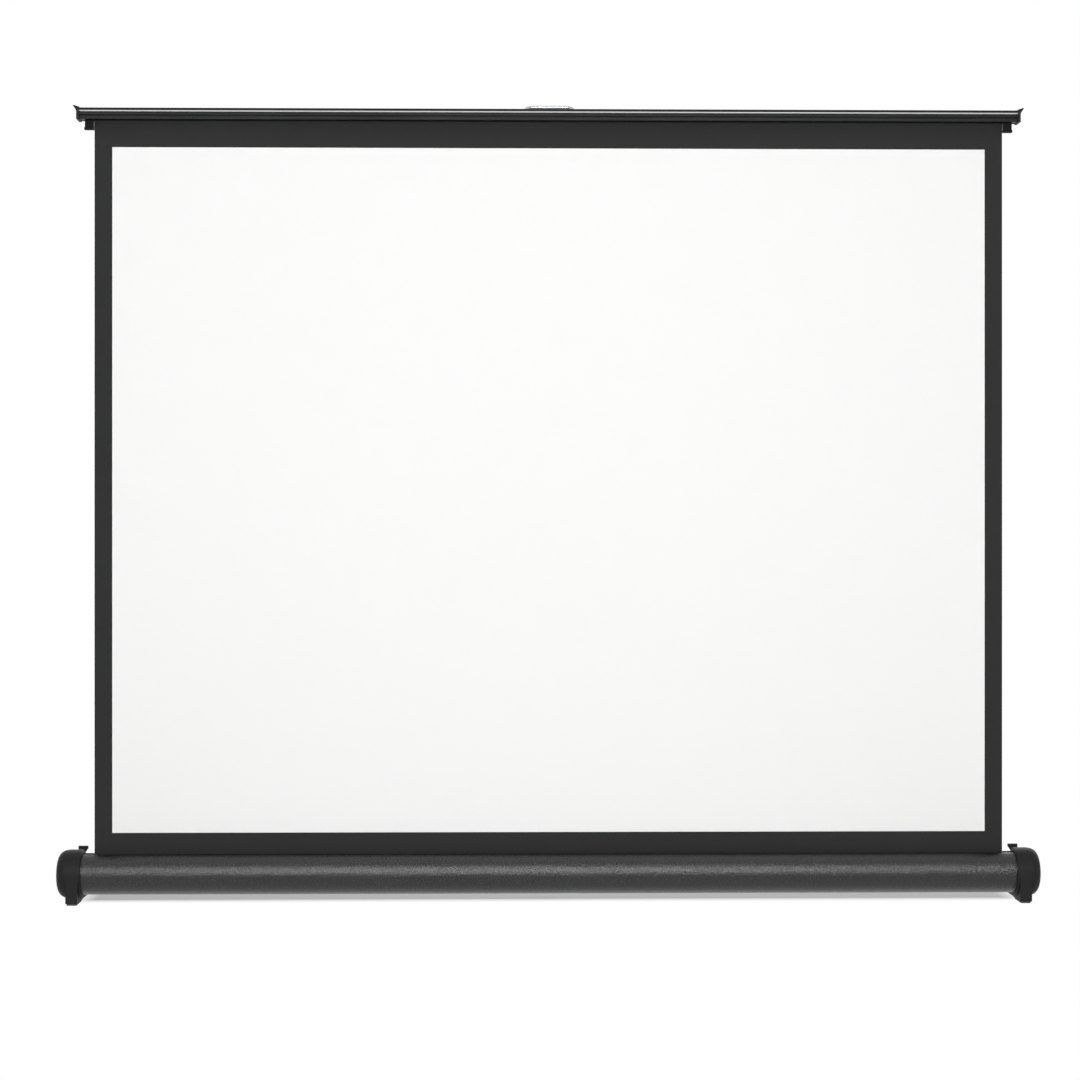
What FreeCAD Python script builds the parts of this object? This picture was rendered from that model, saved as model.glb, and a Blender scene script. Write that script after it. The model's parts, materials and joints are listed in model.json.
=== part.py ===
import FreeCAD, Part

import math
import os
from types import SimpleNamespace

import Sketcher
from FreeCAD import Placement, Rotation, Vector

# Tabletop pull-up projection screen, in millimetres and degrees.
# X runs along the casing, the viewer is on the -Y side, Z is up.
# The origin is on the table, in the middle of the footprint.
DIMENSIONS = {
    # Fabric
    "view_width": 1016.0,
    "view_height": 796.0,
    "side_border": 20.5,
    "top_border": 31.0,
    "bottom_border": 23.0,
    "fabric_thickness": 0.4,
    "fabric_setback": 2.0,
    "hem_slack": 0.1,
    # Casing tube
    "tube_radius": 24.0,
    "tube_wall": 1.6,
    "tube_lift": 9.0,
    "slot_width": 13.0,
    "lip_depth": 3.5,
    # End caps, covers and feet
    "fabric_side_gap": 12.5,
    "cap_wall": 4.0,
    "cap_width": 16.0,
    "cap_overlap": 10.5,
    "seat_clearance": 0.1,
    "cap_round": 1.2,
    "foot_width": 13.5,
    "cover_inset": 0.4,
    "cover_height": 12.5,
    "cover_edge": 1.0,
    "cover_wall": 2.2,
    "spigot_inset": 8.0,
    "spigot_wall": 2.5,
    "spigot_depth": 2.0,
    "tab_room": 2.7,
    "tab_thickness": 4.0,
    "tab_length": 8.0,
    "tab_overhang": 3.0,
    "tab_rise": 2.5,
    "tab_lip": 3.5,
    "pad_thickness": 2.0,
    "pad_inset": 1.0,
    # Swing legs
    "leg_reach": 100.0,
    "leg_width": 12.0,
    "leg_thickness": 6.0,
    "leg_pivot_setback": 17.0,
    "leg_room": 0.3,
    "leg_pin_radius": 2.5,
    "leg_pin_head_radius": 4.2,
    "leg_pin_head": 1.2,
    "leg_pin_rise": 4.0,
    "tip_pad_length": 18.0,
    # Roller and spring
    "roller_radius": 8.0,
    "roller_wall": 0.8,
    "roller_margin": 0.6,
    "leader_thickness": 0.8,
    "shaft_radius": 3.0,
    "bush_flange": 2.0,
    "bush_depth": 12.0,
    "spring_shaft_length": 360.0,
    "spring_wire": 1.2,
    "spring_room": 1.6,
    "spring_turns": 22.0,
    "anchor_length": 12.0,
    "collar_length": 10.0,
    # Top bar
    "bar_height": 13.0,
    "bar_front": 11.0,
    "bar_rear": 9.0,
    "bead_height": 4.8,
    "bead_round": 2.2,
    "rib_height": 2.6,
    "rib_step": 1.5,
    "groove_height": 0.8,
    "groove_depth": 1.0,
    "rib_round": 0.5,
    "channel_room": 0.6,
    "channel_rise": 5.5,
    "slit_width": 2.0,
    "hem_rod_radius": 2.1,
    "bar_overlap": 3.5,
    "bar_cap_thickness": 3.0,
    "bar_cap_margin": 0.8,
    "horn_reach": 4.0,
    "horn_rise": 2.3,
    "horn_height": 6.0,
    "horn_lip": 1.8,
    # Locating plugs under the bar
    "plug_side_gap": 0.6,
    "plug_end_gap": 1.0,
    "plug_drop": 11.0,
    "plug_slot_room": 1.0,
    "plug_lip": 0.8,
    "plug_lip_height": 3.0,
    "plug_room": 0.3,
    # Folding support
    "over_centre": 2.0,
    "pivot_drop": 10.0,
    "base_thickness": 3.0,
    "base_height": 18.0,
    "base_width": 56.0,
    "washer_thickness": 2.2,
    "washer_radius": 8.0,
    "elbow_washer": 0.7,
    "lower_arm_wall": 1.5,
    "web_room": 1.0,
    "open_reach": 7.0,
    "arm_end": 10.0,
    "arm_end_round": 6.0,
    "upper_arm_width": 11.0,
    "upper_arm_depth": 14.0,
    "upper_arm_wall": 1.2,
    "upper_arm_end": 7.4,
    "upper_end_flat": 0.6,
    "pin_radius": 3.0,
    "pin_head_radius": 5.5,
    "pin_head": 1.8,
    "side_play": 0.3,
    "running_clearance": 0.05,
    # Bracket on the bar
    "bracket_sheet": 2.0,
    "bracket_half_width": 36.0,
    "ear_half_width": 8.0,
    "ear_end": 7.5,
    "clevis_room": 0.6,
    # Lift handle
    "handle_half_width": 28.0,
    "handle_wire": 2.0,
    "handle_depth": 24.0,
    "handle_corner": 8.0,
    "handle_lean": 33.0,
    "lug_thickness": 3.0,
    "lug_radius": 4.5,
    "lug_setback": 6.0,
    "lug_drop": 3.0,
    "lug_side_gap": 0.6,
    # Fasteners
    "rivet_radius": 2.0,
    "rivet_head_radius": 3.6,
    "rivet_head": 1.4,
    "base_rivet_x": 19.0,
    "bar_rivet_x": 14.0,
    "screw_radius": 1.6,
    "screw_head_radius": 3.2,
    "screw_head": 1.6,
    "screw_length": 9.0,
    "screw_offset": 12.0,
}

doc = FreeCAD.newDocument("projection_screen")
sheet = doc.addObject("Spreadsheet::Sheet", "Dims")
for row, (alias, number) in enumerate(DIMENSIONS.items(), start=1):
    sheet.set(f"A{row}", alias)
    sheet.set(f"B{row}", str(number))
    sheet.setAlias(f"B{row}", alias)
doc.recompute()


class Size:
    """A number together with the sheet expression that gives it."""

    def __init__(self, text, value):
        self.text = text
        self.value = value

    def __add__(self, other):
        other = as_size(other)
        return Size(f"({self.text} + {other.text})", self.value + other.value)

    def __sub__(self, other):
        other = as_size(other)
        return Size(f"({self.text} - {other.text})", self.value - other.value)

    def __mul__(self, other):
        other = as_size(other)
        return Size(f"({self.text} * {other.text})", self.value * other.value)

    def __truediv__(self, other):
        other = as_size(other)
        return Size(f"({self.text} / {other.text})", self.value / other.value)

    def __rsub__(self, other):
        return as_size(other) - self

    def __neg__(self):
        return Size(f"(0 - {self.text})", -self.value)

    __radd__ = __add__
    __rmul__ = __mul__


def as_size(amount):
    return amount if isinstance(amount, Size) else Size(str(amount), float(amount))


def leg_of_triangle(hypotenuse, other):
    """The second short side of a right triangle."""
    inside = hypotenuse * hypotenuse - other * other
    return Size(f"sqrt({inside.text})", math.sqrt(inside.value))


def cosine(angle):
    return Size(f"cos({angle.text})", math.cos(math.radians(angle.value)))


def sine(angle):
    return Size(f"sin({angle.text})", math.sin(math.radians(angle.value)))


d = SimpleNamespace(**{alias: Size(f"Dims.{alias}", float(sheet.get(alias))) for alias in DIMENSIONS})

# Sizes that several pieces share
cap_radius = d.tube_radius + d.cap_wall
spigot_radius = cap_radius - d.spigot_inset
tab_front = d.bar_rear + d.bar_cap_margin + d.tab_room
spring_radius = d.shaft_radius + d.spring_room + d.spring_wire / 2
channel_radius = d.hem_rod_radius + d.hem_slack + d.fabric_thickness + d.channel_room
plug_depth = d.slot_width - 2 * (d.fabric_setback + d.plug_slot_room)
lower_arm_width = d.upper_arm_width + 2 * (d.elbow_washer + d.side_play + d.lower_arm_wall)
web_reach = d.upper_arm_depth / 2 + d.web_room

# Places that several pieces share
fabric_half = d.view_width / 2 + d.side_border
cap_inner = fabric_half + d.fabric_side_gap
cap_outer = cap_inner + d.cap_width
axis_y = (cap_radius - d.leg_reach) / 2
axis_z = d.tube_lift + d.tube_radius
slot_half = d.slot_width / 2
foot_inner = d.cap_width - d.foot_width
fabric_y = axis_y + d.fabric_setback
roller_y = fabric_y - d.fabric_thickness / 2 - d.side_play - d.leader_thickness - d.roller_radius
roller_half = fabric_half + d.roller_margin
bar_z = axis_z + d.tube_radius + d.bottom_border + d.view_height + d.top_border
bar_half = cap_inner + d.bar_overlap
hem_z = bar_z + d.channel_rise
arm_front = d.tube_radius + d.base_thickness + d.washer_thickness
arm_plane = axis_y + arm_front + lower_arm_width / 2
upper_pivot_z = bar_z - d.pivot_drop
arm_length = (upper_pivot_z - axis_z) / (2 * cosine(d.over_centre))
elbow_x = -arm_length * sine(d.over_centre)
elbow_z = axis_z + arm_length * cosine(d.over_centre)
clevis_half = lower_arm_width / 2 + d.clevis_room
pin_hole = d.pin_radius + d.running_clearance
leg_pivot_x = cap_outer - d.foot_width / 2
leg_pivot_y = axis_y + d.leg_pivot_setback
leg_top = d.pad_thickness + d.leg_thickness
leg_length = d.leg_reach - d.leg_pivot_setback
recess_front = d.leg_pivot_setback - d.leg_width / 2 - d.pad_inset
handle_y = axis_y + d.bar_rear + d.bracket_sheet + d.lug_setback
handle_z = bar_z + d.bar_height - d.lug_drop
lug_outer = d.handle_half_width - d.handle_wire - d.lug_side_gap

sub_parts = []


def keep(piece, label):
    """Give a finished sub-part its name and put it on the list that is written out."""
    piece.Label = label
    sub_parts.append(piece)
    return piece


def place(piece, x, y, z, axis=None, angle=None):
    """Bind a piece's place, and its turn about one axis, to the sheet."""
    spot = [as_size(x), as_size(y), as_size(z)]
    turn = as_size(angle) if angle is not None else None
    rotation = Rotation(axis, turn.value) if turn else Rotation()
    piece.Placement = Placement(Vector(*[s.value for s in spot]), rotation)
    for letter, size in zip("xyz", spot):
        piece.setExpression(f"Placement.Base.{letter}", size.text)
    if turn:
        piece.setExpression("Placement.Rotation.Angle", turn.text)


def new_body(name, x, y, z, axis=None, angle=None):
    body = doc.addObject("PartDesign::Body", f"{name}_body")
    place(body, x, y, z, axis, angle)
    return body


def sketch_on(body, role, lift=0):
    """An empty sketch on one of the body's origin planes, lifted along that plane's normal."""
    plane = next(f for f in body.Origin.OriginFeatures if f.Role == role)
    sketch = body.newObject("Sketcher::SketchObject", f"{body.Name}_sketch")
    sketch.AttachmentSupport = [(plane, "")]
    sketch.MapMode = "FlatFace"
    lift = as_size(lift)
    sketch.AttachmentOffset = Placement(Vector(0, 0, lift.value), Rotation())
    sketch.setExpression("AttachmentOffset.Base.z", lift.text)
    return sketch


def pin_down(sketch, edge, end, point):
    """Hold one point of a sketch at sheet-driven coordinates."""
    for kind, size in zip(("DistanceX", "DistanceY"), point):
        size = as_size(size)
        index = sketch.addConstraint(Sketcher.Constraint(kind, -1, 1, edge, end, size.value))
        sketch.setExpression(f"Constraints[{index}]", size.text)


def draw_wire(sketch, points, rounds):
    """An open wire through points; rounds maps a run's number to the centre and radius of its arc."""
    spots = [Vector(as_size(u).value, as_size(v).value, 0) for u, v in points]
    runs = range(len(points) - 1)
    starts = []
    for run in runs:
        start, end = spots[run], spots[run + 1]
        if run in rounds:
            u, v, radius = rounds[run]
            centre = Vector(u.value, v.value, 0)
            clockwise = (start - centre).cross(end - centre).z < 0
            first, last = [math.atan2(spot.y - centre.y, spot.x - centre.x)
                           for spot in ((end, start) if clockwise else (start, end))]
            if last < first:
                last += math.tau
            circle = Part.Circle(centre, Vector(0, 0, 1), radius.value)
            sketch.addGeometry(Part.ArcOfCircle(circle, first, last))
            starts.append(2 if clockwise else 1)
        else:
            sketch.addGeometry(Part.LineSegment(start, end))
            starts.append(1)
    for run in runs:
        if run in rounds:
            sketch.addConstraint(Sketcher.Constraint("Coincident", run - 1, 2, run, starts[run]))
            sketch.addConstraint(Sketcher.Constraint("Coincident", run, 3 - starts[run], run + 1, 1))
            radius = rounds[run][2]
            index = sketch.addConstraint(Sketcher.Constraint("Radius", run, radius.value))
            sketch.setExpression(f"Constraints[{index}]", radius.text)
        else:
            pin_down(sketch, run, 1, points[run])
            pin_down(sketch, run, 2, points[run + 1])
    return sketch


def draw_box(sketch, u0, u1, v0, v1):
    return draw_polygon(sketch, [(u0, v0), (u1, v0), (u1, v1), (u0, v1)])


def draw_polygon(sketch, points):
    first = sketch.GeometryCount
    spots = [Vector(as_size(u).value, as_size(v).value, 0) for u, v in points]
    count = len(points)
    for run in range(count):
        sketch.addGeometry(Part.LineSegment(spots[run], spots[(run + 1) % count]))
    for run in range(count):
        sketch.addConstraint(Sketcher.Constraint("Coincident", first + run, 2, first + (run + 1) % count, 1))
        pin_down(sketch, first + run, 1, points[run])
    return sketch


def draw_circle(sketch, u, v, radius):
    u, v, radius = as_size(u), as_size(v), as_size(radius)
    edge = sketch.addGeometry(Part.Circle(Vector(u.value, v.value, 0), Vector(0, 0, 1), radius.value))
    pin_down(sketch, edge, 3, (u, v))
    index = sketch.addConstraint(Sketcher.Constraint("Radius", edge, radius.value))
    sketch.setExpression(f"Constraints[{index}]", radius.text)
    return sketch


def pad(body, sketch, length, middle=False, back=False):
    feature = body.newObject("PartDesign::Pad", f"{body.Name}_pad")
    feature.Profile = sketch
    feature.Length = as_size(length).value
    feature.setExpression("Length", as_size(length).text)
    feature.SideType = "Symmetric" if middle else "One side"
    feature.Reversed = back
    return feature


def pocket(body, sketch, depth=None, middle=False, back=False):
    """Cut a sketch out of a body, right through if no depth is given, and make sure that it cut."""
    doc.recompute()
    before = body.Shape.Volume
    feature = body.newObject("PartDesign::Pocket", f"{body.Name}_pocket")
    feature.Profile = sketch
    if depth is None:
        feature.Type = "ThroughAll"
    else:
        feature.Length = as_size(depth).value
        feature.setExpression("Length", as_size(depth).text)
    feature.SideType = "Symmetric" if middle else "One side"
    feature.Reversed = back
    doc.recompute()
    if not body.Shape.Volume < before:
        raise RuntimeError(f"{feature.Name} cuts nothing")
    return feature


def revolve(body, points):
    """Turn a closed outline of (radius, height) points about the body's Z axis."""
    sketch = draw_polygon(sketch_on(body, "XZ_Plane"), points)
    feature = body.newObject("PartDesign::Revolution", f"{body.Name}_turn")
    feature.Profile = sketch
    feature.ReferenceAxis = (sketch, ["V_Axis"])
    feature.Angle = 360
    return feature


def soften(body, radius, wanted):
    """Round every edge that the test picks."""
    doc.recompute()
    base = body.Tip
    names = [f"Edge{i}" for i, edge in enumerate(base.Shape.Edges, start=1) if wanted(edge)]
    if not names:
        raise RuntimeError(f"{body.Name} has no edge to round")
    feature = body.newObject("PartDesign::Fillet", f"{body.Name}_round")
    feature.Base = (base, names)
    feature.Radius = as_size(radius).value
    feature.setExpression("Radius", as_size(radius).text)
    return feature


def runs_along(edge, direction):
    """Whether a straight edge is parallel to a direction."""
    if edge.Curve.TypeId != "Part::GeomLine":
        return False
    return abs(edge.tangentAt(edge.FirstParameter).dot(direction)) > 1 - 1e-6


def mid_of(edge):
    return edge.valueAt((edge.FirstParameter + edge.LastParameter) / 2)


def near(number, size):
    return abs(number - as_size(size).value) < 1e-4


def rod(name, radius, length, x, y, z, axis, angle):
    """A plain round bar from a point, along its turned Z axis."""
    bar = doc.addObject("Part::Cylinder", name)
    bar.Radius = as_size(radius).value
    bar.Height = as_size(length).value
    bar.setExpression("Radius", as_size(radius).text)
    bar.setExpression("Height", as_size(length).text)
    place(bar, x, y, z, axis, angle)
    return bar


def mirrored(source, name):
    """The same piece on the other side of the middle plane."""
    twin = doc.addObject("Part::Mirroring", f"{name}_mirror")
    twin.Source = source
    twin.Normal = Vector(1, 0, 0)
    return twin


def keep_both_sides(right_piece, name):
    keep(right_piece, f"{name}_right")
    keep(mirrored(right_piece, name), f"{name}_left")


def keep_group(pieces, name):
    """Several alike solids as one named group."""
    group = doc.addObject("Part::Compound", f"{name}_group")
    group.Links = pieces
    keep(group, name)


ALONG_X = (Vector(0, 1, 0), 90)
ALONG_Y = (Vector(1, 0, 0), -90)


def make_casing_tube():
    """Round tube with a slot along its top, whose edges are turned in."""
    body = new_body("casing_tube", 0, axis_y, axis_z)
    length = 2 * (cap_inner + d.cap_overlap)
    ring = sketch_on(body, "YZ_Plane")
    draw_circle(ring, 0, 0, d.tube_radius)
    draw_circle(ring, 0, 0, d.tube_radius - d.tube_wall)
    pad(body, ring, length, middle=True)
    lip_edge = slot_half + d.tube_wall
    lip_top = leg_of_triangle(d.tube_radius, lip_edge)
    lips = sketch_on(body, "YZ_Plane")
    draw_box(lips, slot_half, lip_edge, lip_top - d.lip_depth, lip_top)
    draw_box(lips, -lip_edge, -slot_half, lip_top - d.lip_depth, lip_top)
    pad(body, lips, length, middle=True)
    slot = sketch_on(body, "YZ_Plane")
    draw_box(slot, -slot_half, slot_half, d.tube_radius / 2, d.tube_radius * 2)
    pocket(body, slot, middle=True)
    keep(body, "casing_tube")


def make_end_caps():
    """Ring over the tube's end with a foot block under it and a guide tab on its rear shoulder."""
    body = new_body("end_cap", cap_inner, axis_y, axis_z)
    ring = draw_circle(sketch_on(body, "YZ_Plane"), 0, 0, cap_radius)
    pad(body, ring, d.cap_width)
    soften(body, d.cap_round, lambda e: e.Curve.TypeId == "Part::GeomCircle" and near(mid_of(e).x, 0))
    foot = sketch_on(body, "YZ_Plane", foot_inner)
    draw_box(foot, -cap_radius, cap_radius, d.pad_thickness - axis_z, 0)
    pad(body, foot, d.foot_width)
    seat_radius = d.tube_radius + d.seat_clearance
    tab_foot = leg_of_triangle(seat_radius, tab_front) + d.seat_clearance
    tab_top = cap_radius + d.tab_rise
    tab = sketch_on(body, "XZ_Plane", -(tab_front + d.tab_thickness))
    outline = [
        (d.cap_round, tab_foot),
        (d.tab_length, tab_foot),
        (d.tab_length, tab_top),
        (-d.tab_overhang, tab_top),
        (-d.tab_overhang, tab_top - d.tab_lip),
        (d.cap_round, tab_top - d.tab_lip),
    ]
    draw_polygon(tab, outline)
    pad(body, tab, d.tab_thickness)
    recess = sketch_on(body, "YZ_Plane")
    recess_top = leg_top + d.leg_room - axis_z
    draw_box(recess, recess_front, cap_radius * 2, -axis_z, recess_top)
    pocket(body, recess, back=True)
    seat = draw_circle(sketch_on(body, "YZ_Plane"), 0, 0, seat_radius)
    pocket(body, seat, d.cap_overlap, back=True)
    spigot_seat = sketch_on(body, "YZ_Plane", d.cap_width)
    draw_circle(spigot_seat, 0, 0, spigot_radius + d.seat_clearance)
    pocket(body, spigot_seat, d.spigot_depth + d.seat_clearance)
    screws = sketch_on(body, "YZ_Plane")
    draw_circle(screws, 0, d.screw_offset, d.screw_radius)
    draw_circle(screws, 0, -d.screw_offset, d.screw_radius)
    pocket(body, screws, back=True)
    pin = sketch_on(body, "XY_Plane", leg_top - axis_z)
    draw_circle(pin, leg_pivot_x - cap_inner, d.leg_pivot_setback, d.leg_pin_radius)
    pocket(body, pin, d.leg_pin_rise, back=True)
    keep_both_sides(body, "end_cap")


def make_end_covers():
    """Domed cover, hollow inside, with a spigot ring in the cap's outer face."""
    body = new_body("end_cover", cap_outer, axis_y, axis_z, *ALONG_X)
    radius = cap_radius - d.cover_inset
    revolve(body, [(0, 0), (radius, 0), (radius, d.cover_height), (0, d.cover_height)])
    soften(body, d.cover_height - d.cover_edge, lambda e: e.Curve.TypeId == "Part::GeomCircle"
           and near(mid_of(e).z, d.cover_height))
    doc.recompute()
    hollow = sketch_on(body, "XZ_Plane")
    inner = spigot_radius - d.spigot_wall
    draw_polygon(hollow, [(0, 0), (inner, 0), (inner, d.cover_height / 2), (0, d.cover_height - d.cover_wall)])
    solid_volume = body.Shape.Volume
    groove = body.newObject("PartDesign::Groove", "end_cover_hollow")
    groove.Profile = hollow
    groove.ReferenceAxis = (hollow, ["V_Axis"])
    groove.Angle = 360
    doc.recompute()
    if not body.Shape.Volume < solid_volume:
        raise RuntimeError("the cover's hollow cuts nothing")
    spigot = sketch_on(body, "XY_Plane")
    draw_circle(spigot, 0, 0, spigot_radius)
    draw_circle(spigot, 0, 0, inner)
    pad(body, spigot, d.spigot_depth, back=True)
    keep_both_sides(body, "end_cover")


def make_foot_pads():
    """Rubber pad under the front part of each foot block."""
    body = new_body("foot_pad", cap_outer, axis_y, 0)
    outline = sketch_on(body, "XY_Plane")
    draw_box(outline, d.pad_inset - d.foot_width, -d.pad_inset, d.pad_inset - cap_radius,
             recess_front - d.pad_inset)
    pad(body, outline, d.pad_thickness)
    soften(body, d.pad_inset * 2, lambda e: runs_along(e, Vector(0, 0, 1)))
    keep_both_sides(body, "foot_pad")


def make_swing_legs():
    """Flat rear leg that swings in under the casing about a pin in the foot block."""
    half = d.leg_width / 2
    body = new_body("swing_leg", leg_pivot_x, leg_pivot_y, d.pad_thickness)
    strip = sketch_on(body, "XY_Plane")
    draw_box(strip, -half, half, 0, leg_length - half)
    pad(body, strip, d.leg_thickness)
    for centre in (0, leg_length - half):
        pad(body, draw_circle(sketch_on(body, "XY_Plane"), 0, centre, half), d.leg_thickness)
    hole = draw_circle(sketch_on(body, "XY_Plane"), 0, 0, d.leg_pin_radius + d.running_clearance)
    pocket(body, hole, back=True)
    counterbore = sketch_on(body, "XY_Plane")
    draw_circle(counterbore, 0, 0, d.leg_pin_head_radius + d.leg_room)
    pocket(body, counterbore, d.leg_pin_head + d.leg_room, back=True)
    keep_both_sides(body, "swing_leg")

    pin = new_body("leg_pin", leg_pivot_x, leg_pivot_y, d.pad_thickness)
    top = d.leg_thickness + d.leg_pin_rise
    revolve(pin, [(0, 0), (d.leg_pin_head_radius, 0), (d.leg_pin_head_radius, d.leg_pin_head),
                  (d.leg_pin_radius, d.leg_pin_head), (d.leg_pin_radius, top), (0, top)])
    keep_group([pin, mirrored(pin, "leg_pin")], "leg_pins")

    tip = new_body("leg_tip_pad", leg_pivot_x, leg_pivot_y, 0)
    outline = sketch_on(tip, "XY_Plane")
    narrow = half - d.pad_inset
    draw_box(outline, -narrow, narrow, leg_length - d.tip_pad_length, leg_length - half)
    pad(tip, outline, d.pad_thickness)
    pad(tip, draw_circle(sketch_on(tip, "XY_Plane"), 0, leg_length - half, narrow), d.pad_thickness)
    keep_both_sides(tip, "leg_tip_pad")


def make_roller_bearings():
    """Plugs in the tube's ends, the fixed spring shaft on the left and the idle pin on the right."""
    body = new_body("tube_plug", cap_inner, axis_y, axis_z)
    disc = draw_circle(sketch_on(body, "YZ_Plane"), 0, 0, d.tube_radius - d.tube_wall - d.seat_clearance)
    pad(body, disc, d.cap_overlap)
    notch = sketch_on(body, "YZ_Plane")
    notch_half = slot_half + d.tube_wall + d.seat_clearance
    lip_bottom = leg_of_triangle(d.tube_radius, slot_half + d.tube_wall) - d.lip_depth
    draw_box(notch, -notch_half, notch_half, lip_bottom - d.seat_clearance, d.tube_radius * 2)
    pocket(body, notch, back=True)
    holes = sketch_on(body, "YZ_Plane")
    draw_circle(holes, roller_y - axis_y, 0, d.shaft_radius)
    draw_circle(holes, 0, d.screw_offset, d.screw_radius)
    draw_circle(holes, 0, -d.screw_offset, d.screw_radius)
    pocket(body, holes, back=True)
    keep_both_sides(body, "tube_plug")

    stub = cap_inner + d.cap_overlap - roller_half + d.bush_depth
    idle = rod("idle_pin", d.shaft_radius, stub, roller_half - d.bush_depth, roller_y, axis_z, *ALONG_X)
    keep(idle, "idle_pin")
    shaft_start = -(cap_inner + d.cap_overlap)
    shaft = rod("spring_shaft", d.shaft_radius, d.spring_shaft_length, shaft_start, roller_y, axis_z, *ALONG_X)
    keep(shaft, "spring_shaft")

    screw = new_body("cap_screw", cap_outer - d.spigot_depth - d.seat_clearance, axis_y,
                     axis_z + d.screw_offset, *ALONG_X)
    revolve(screw, [(0, -d.screw_length), (d.screw_radius, -d.screw_length), (d.screw_radius, 0),
                    (d.screw_head_radius, 0), (d.screw_head_radius, d.screw_head), (0, d.screw_head)])
    lower = doc.addObject("Part::Mirroring", "cap_screw_lower")
    lower.Source = screw
    lower.Normal = Vector(0, 0, 1)
    lower.Base = Vector(0, 0, axis_z.value)
    lower.setExpression("Base.z", axis_z.text)
    keep_group([screw, lower, mirrored(screw, "cap_screw"), mirrored(lower, "cap_screw_lower")], "cap_screws")


def make_roller():
    """Thin tube that the fabric winds on, with a bush in each end."""
    body = new_body("roller_tube", 0, roller_y, axis_z)
    ring = sketch_on(body, "YZ_Plane")
    inner = d.roller_radius - d.roller_wall
    draw_circle(ring, 0, 0, d.roller_radius)
    draw_circle(ring, 0, 0, inner)
    pad(body, ring, 2 * roller_half, middle=True)
    keep(body, "roller_tube")

    bush = new_body("roller_bush", roller_half, roller_y, axis_z, *ALONG_X)
    bore = d.shaft_radius + d.running_clearance
    revolve(bush, [(bore, -d.bush_depth), (inner, -d.bush_depth), (inner, 0), (d.roller_radius, 0),
                   (d.roller_radius, d.bush_flange), (bore, d.bush_flange)])
    keep_both_sides(bush, "roller_bush")

    wrap = new_body("leader_wrap", 0, roller_y, axis_z)
    turns = sketch_on(wrap, "YZ_Plane")
    draw_circle(turns, 0, 0, d.roller_radius + d.leader_thickness)
    draw_circle(turns, 0, 0, d.roller_radius)
    pad(wrap, turns, 2 * fabric_half, middle=True)
    keep(wrap, "leader_wrap")

    anchor_start = d.bush_depth - roller_half
    anchor = new_body("spring_anchor", anchor_start, roller_y, axis_z, *ALONG_X)
    revolve(anchor, [(bore, 0), (inner, 0), (inner, d.anchor_length), (bore, d.anchor_length)])
    keep(anchor, "spring_anchor")


def arc_round(start, corner, end):
    """Arc from start to end that leaves and arrives along two equal legs from the corner."""
    inward = (start + end) / 2 - corner
    leg = (corner - start).Length
    crown = corner + inward * (leg * (leg - (end - start).Length / 2) / inward.Length ** 2)
    return Part.Arc(start, crown, end).toShape()


def make_spring():
    """Collar at the shaft's free end and the coil between it and the roller's anchor."""
    shaft_end = d.spring_shaft_length - cap_inner - d.cap_overlap
    collar = new_body("shaft_collar", shaft_end - d.collar_length, roller_y, axis_z, *ALONG_X)
    collar_radius = spring_radius + d.spring_wire / 2
    revolve(collar, [(d.shaft_radius, 0), (collar_radius, 0), (collar_radius, d.collar_length),
                     (d.shaft_radius, d.collar_length)])
    keep(collar, "shaft_collar")

    coil_start = d.bush_depth - roller_half + d.anchor_length + d.side_play
    coil_length = shaft_end - d.collar_length - d.side_play - coil_start
    steps_per_turn = 4
    turns = int(round(d.spring_turns.value))
    wire_radius = d.spring_wire.value / 2
    pitch = (coil_length.value - d.spring_wire.value) / turns
    radius = spring_radius.value

    def coil_spot(turn):
        angle = turn * math.tau
        return Vector(wire_radius + pitch * turn, radius * math.cos(angle), radius * math.sin(angle))

    def coil_heading(turn):
        angle = turn * math.tau
        return Vector(pitch / math.tau, -radius * math.sin(angle), radius * math.cos(angle)).normalize()

    edges = []
    for step in range(turns * steps_per_turn):
        start, end = coil_spot(step / steps_per_turn), coil_spot((step + 1) / steps_per_turn)
        leaving, arriving = coil_heading(step / steps_per_turn), coil_heading((step + 1) / steps_per_turn)
        span, both = end - start, leaving + arriving
        spread, along = 4 - both.dot(both), span.dot(both)
        leg = (math.sqrt(along ** 2 + spread * span.dot(span)) - along) / spread
        first_corner, last_corner = start + leaving * leg, end - arriving * leg
        joint = (first_corner + last_corner) / 2
        edges += [arc_round(start, first_corner, joint), arc_round(joint, last_corner, end)]
    section = Part.Wire([Part.Circle(coil_spot(0), coil_heading(0), wire_radius).toShape()])
    coil = doc.addObject("Part::Feature", "torsion_spring")
    coil.Shape = Part.Wire(edges).makePipeShell([section], True, False)
    place(coil, coil_start, roller_y, axis_z)
    keep(coil, "torsion_spring")
    spots = [coil_spot(k / 16) for k in range(16 * turns + 1)]
    apart = min((one - other).Length for k, one in enumerate(spots) for other in spots[k + 8:])
    print(f"spring: least gap between turns {apart - d.spring_wire.value:.2f} mm")


def make_fabric():
    """Flat sheet from the roller up to a sewn sleeve round the hem rod."""
    body = new_body("screen_fabric", 0, fabric_y, axis_z)
    inner = d.hem_rod_radius + d.hem_slack
    hem_height = hem_z - axis_z
    sleeve = sketch_on(body, "YZ_Plane")
    draw_circle(sleeve, 0, hem_height, inner + d.fabric_thickness)
    draw_circle(sleeve, 0, hem_height, inner)
    pad(body, sleeve, 2 * fabric_half, middle=True)
    half = d.fabric_thickness / 2
    flat = draw_box(sketch_on(body, "YZ_Plane"), -half, half, 0, hem_height - inner - half)
    pad(body, flat, 2 * fabric_half, middle=True)
    keep(body, "screen_fabric")
    stick = rod("hem_rod", d.hem_rod_radius, 2 * fabric_half, -fabric_half, fabric_y, hem_z, *ALONG_X)
    keep(stick, "hem_rod")


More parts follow.
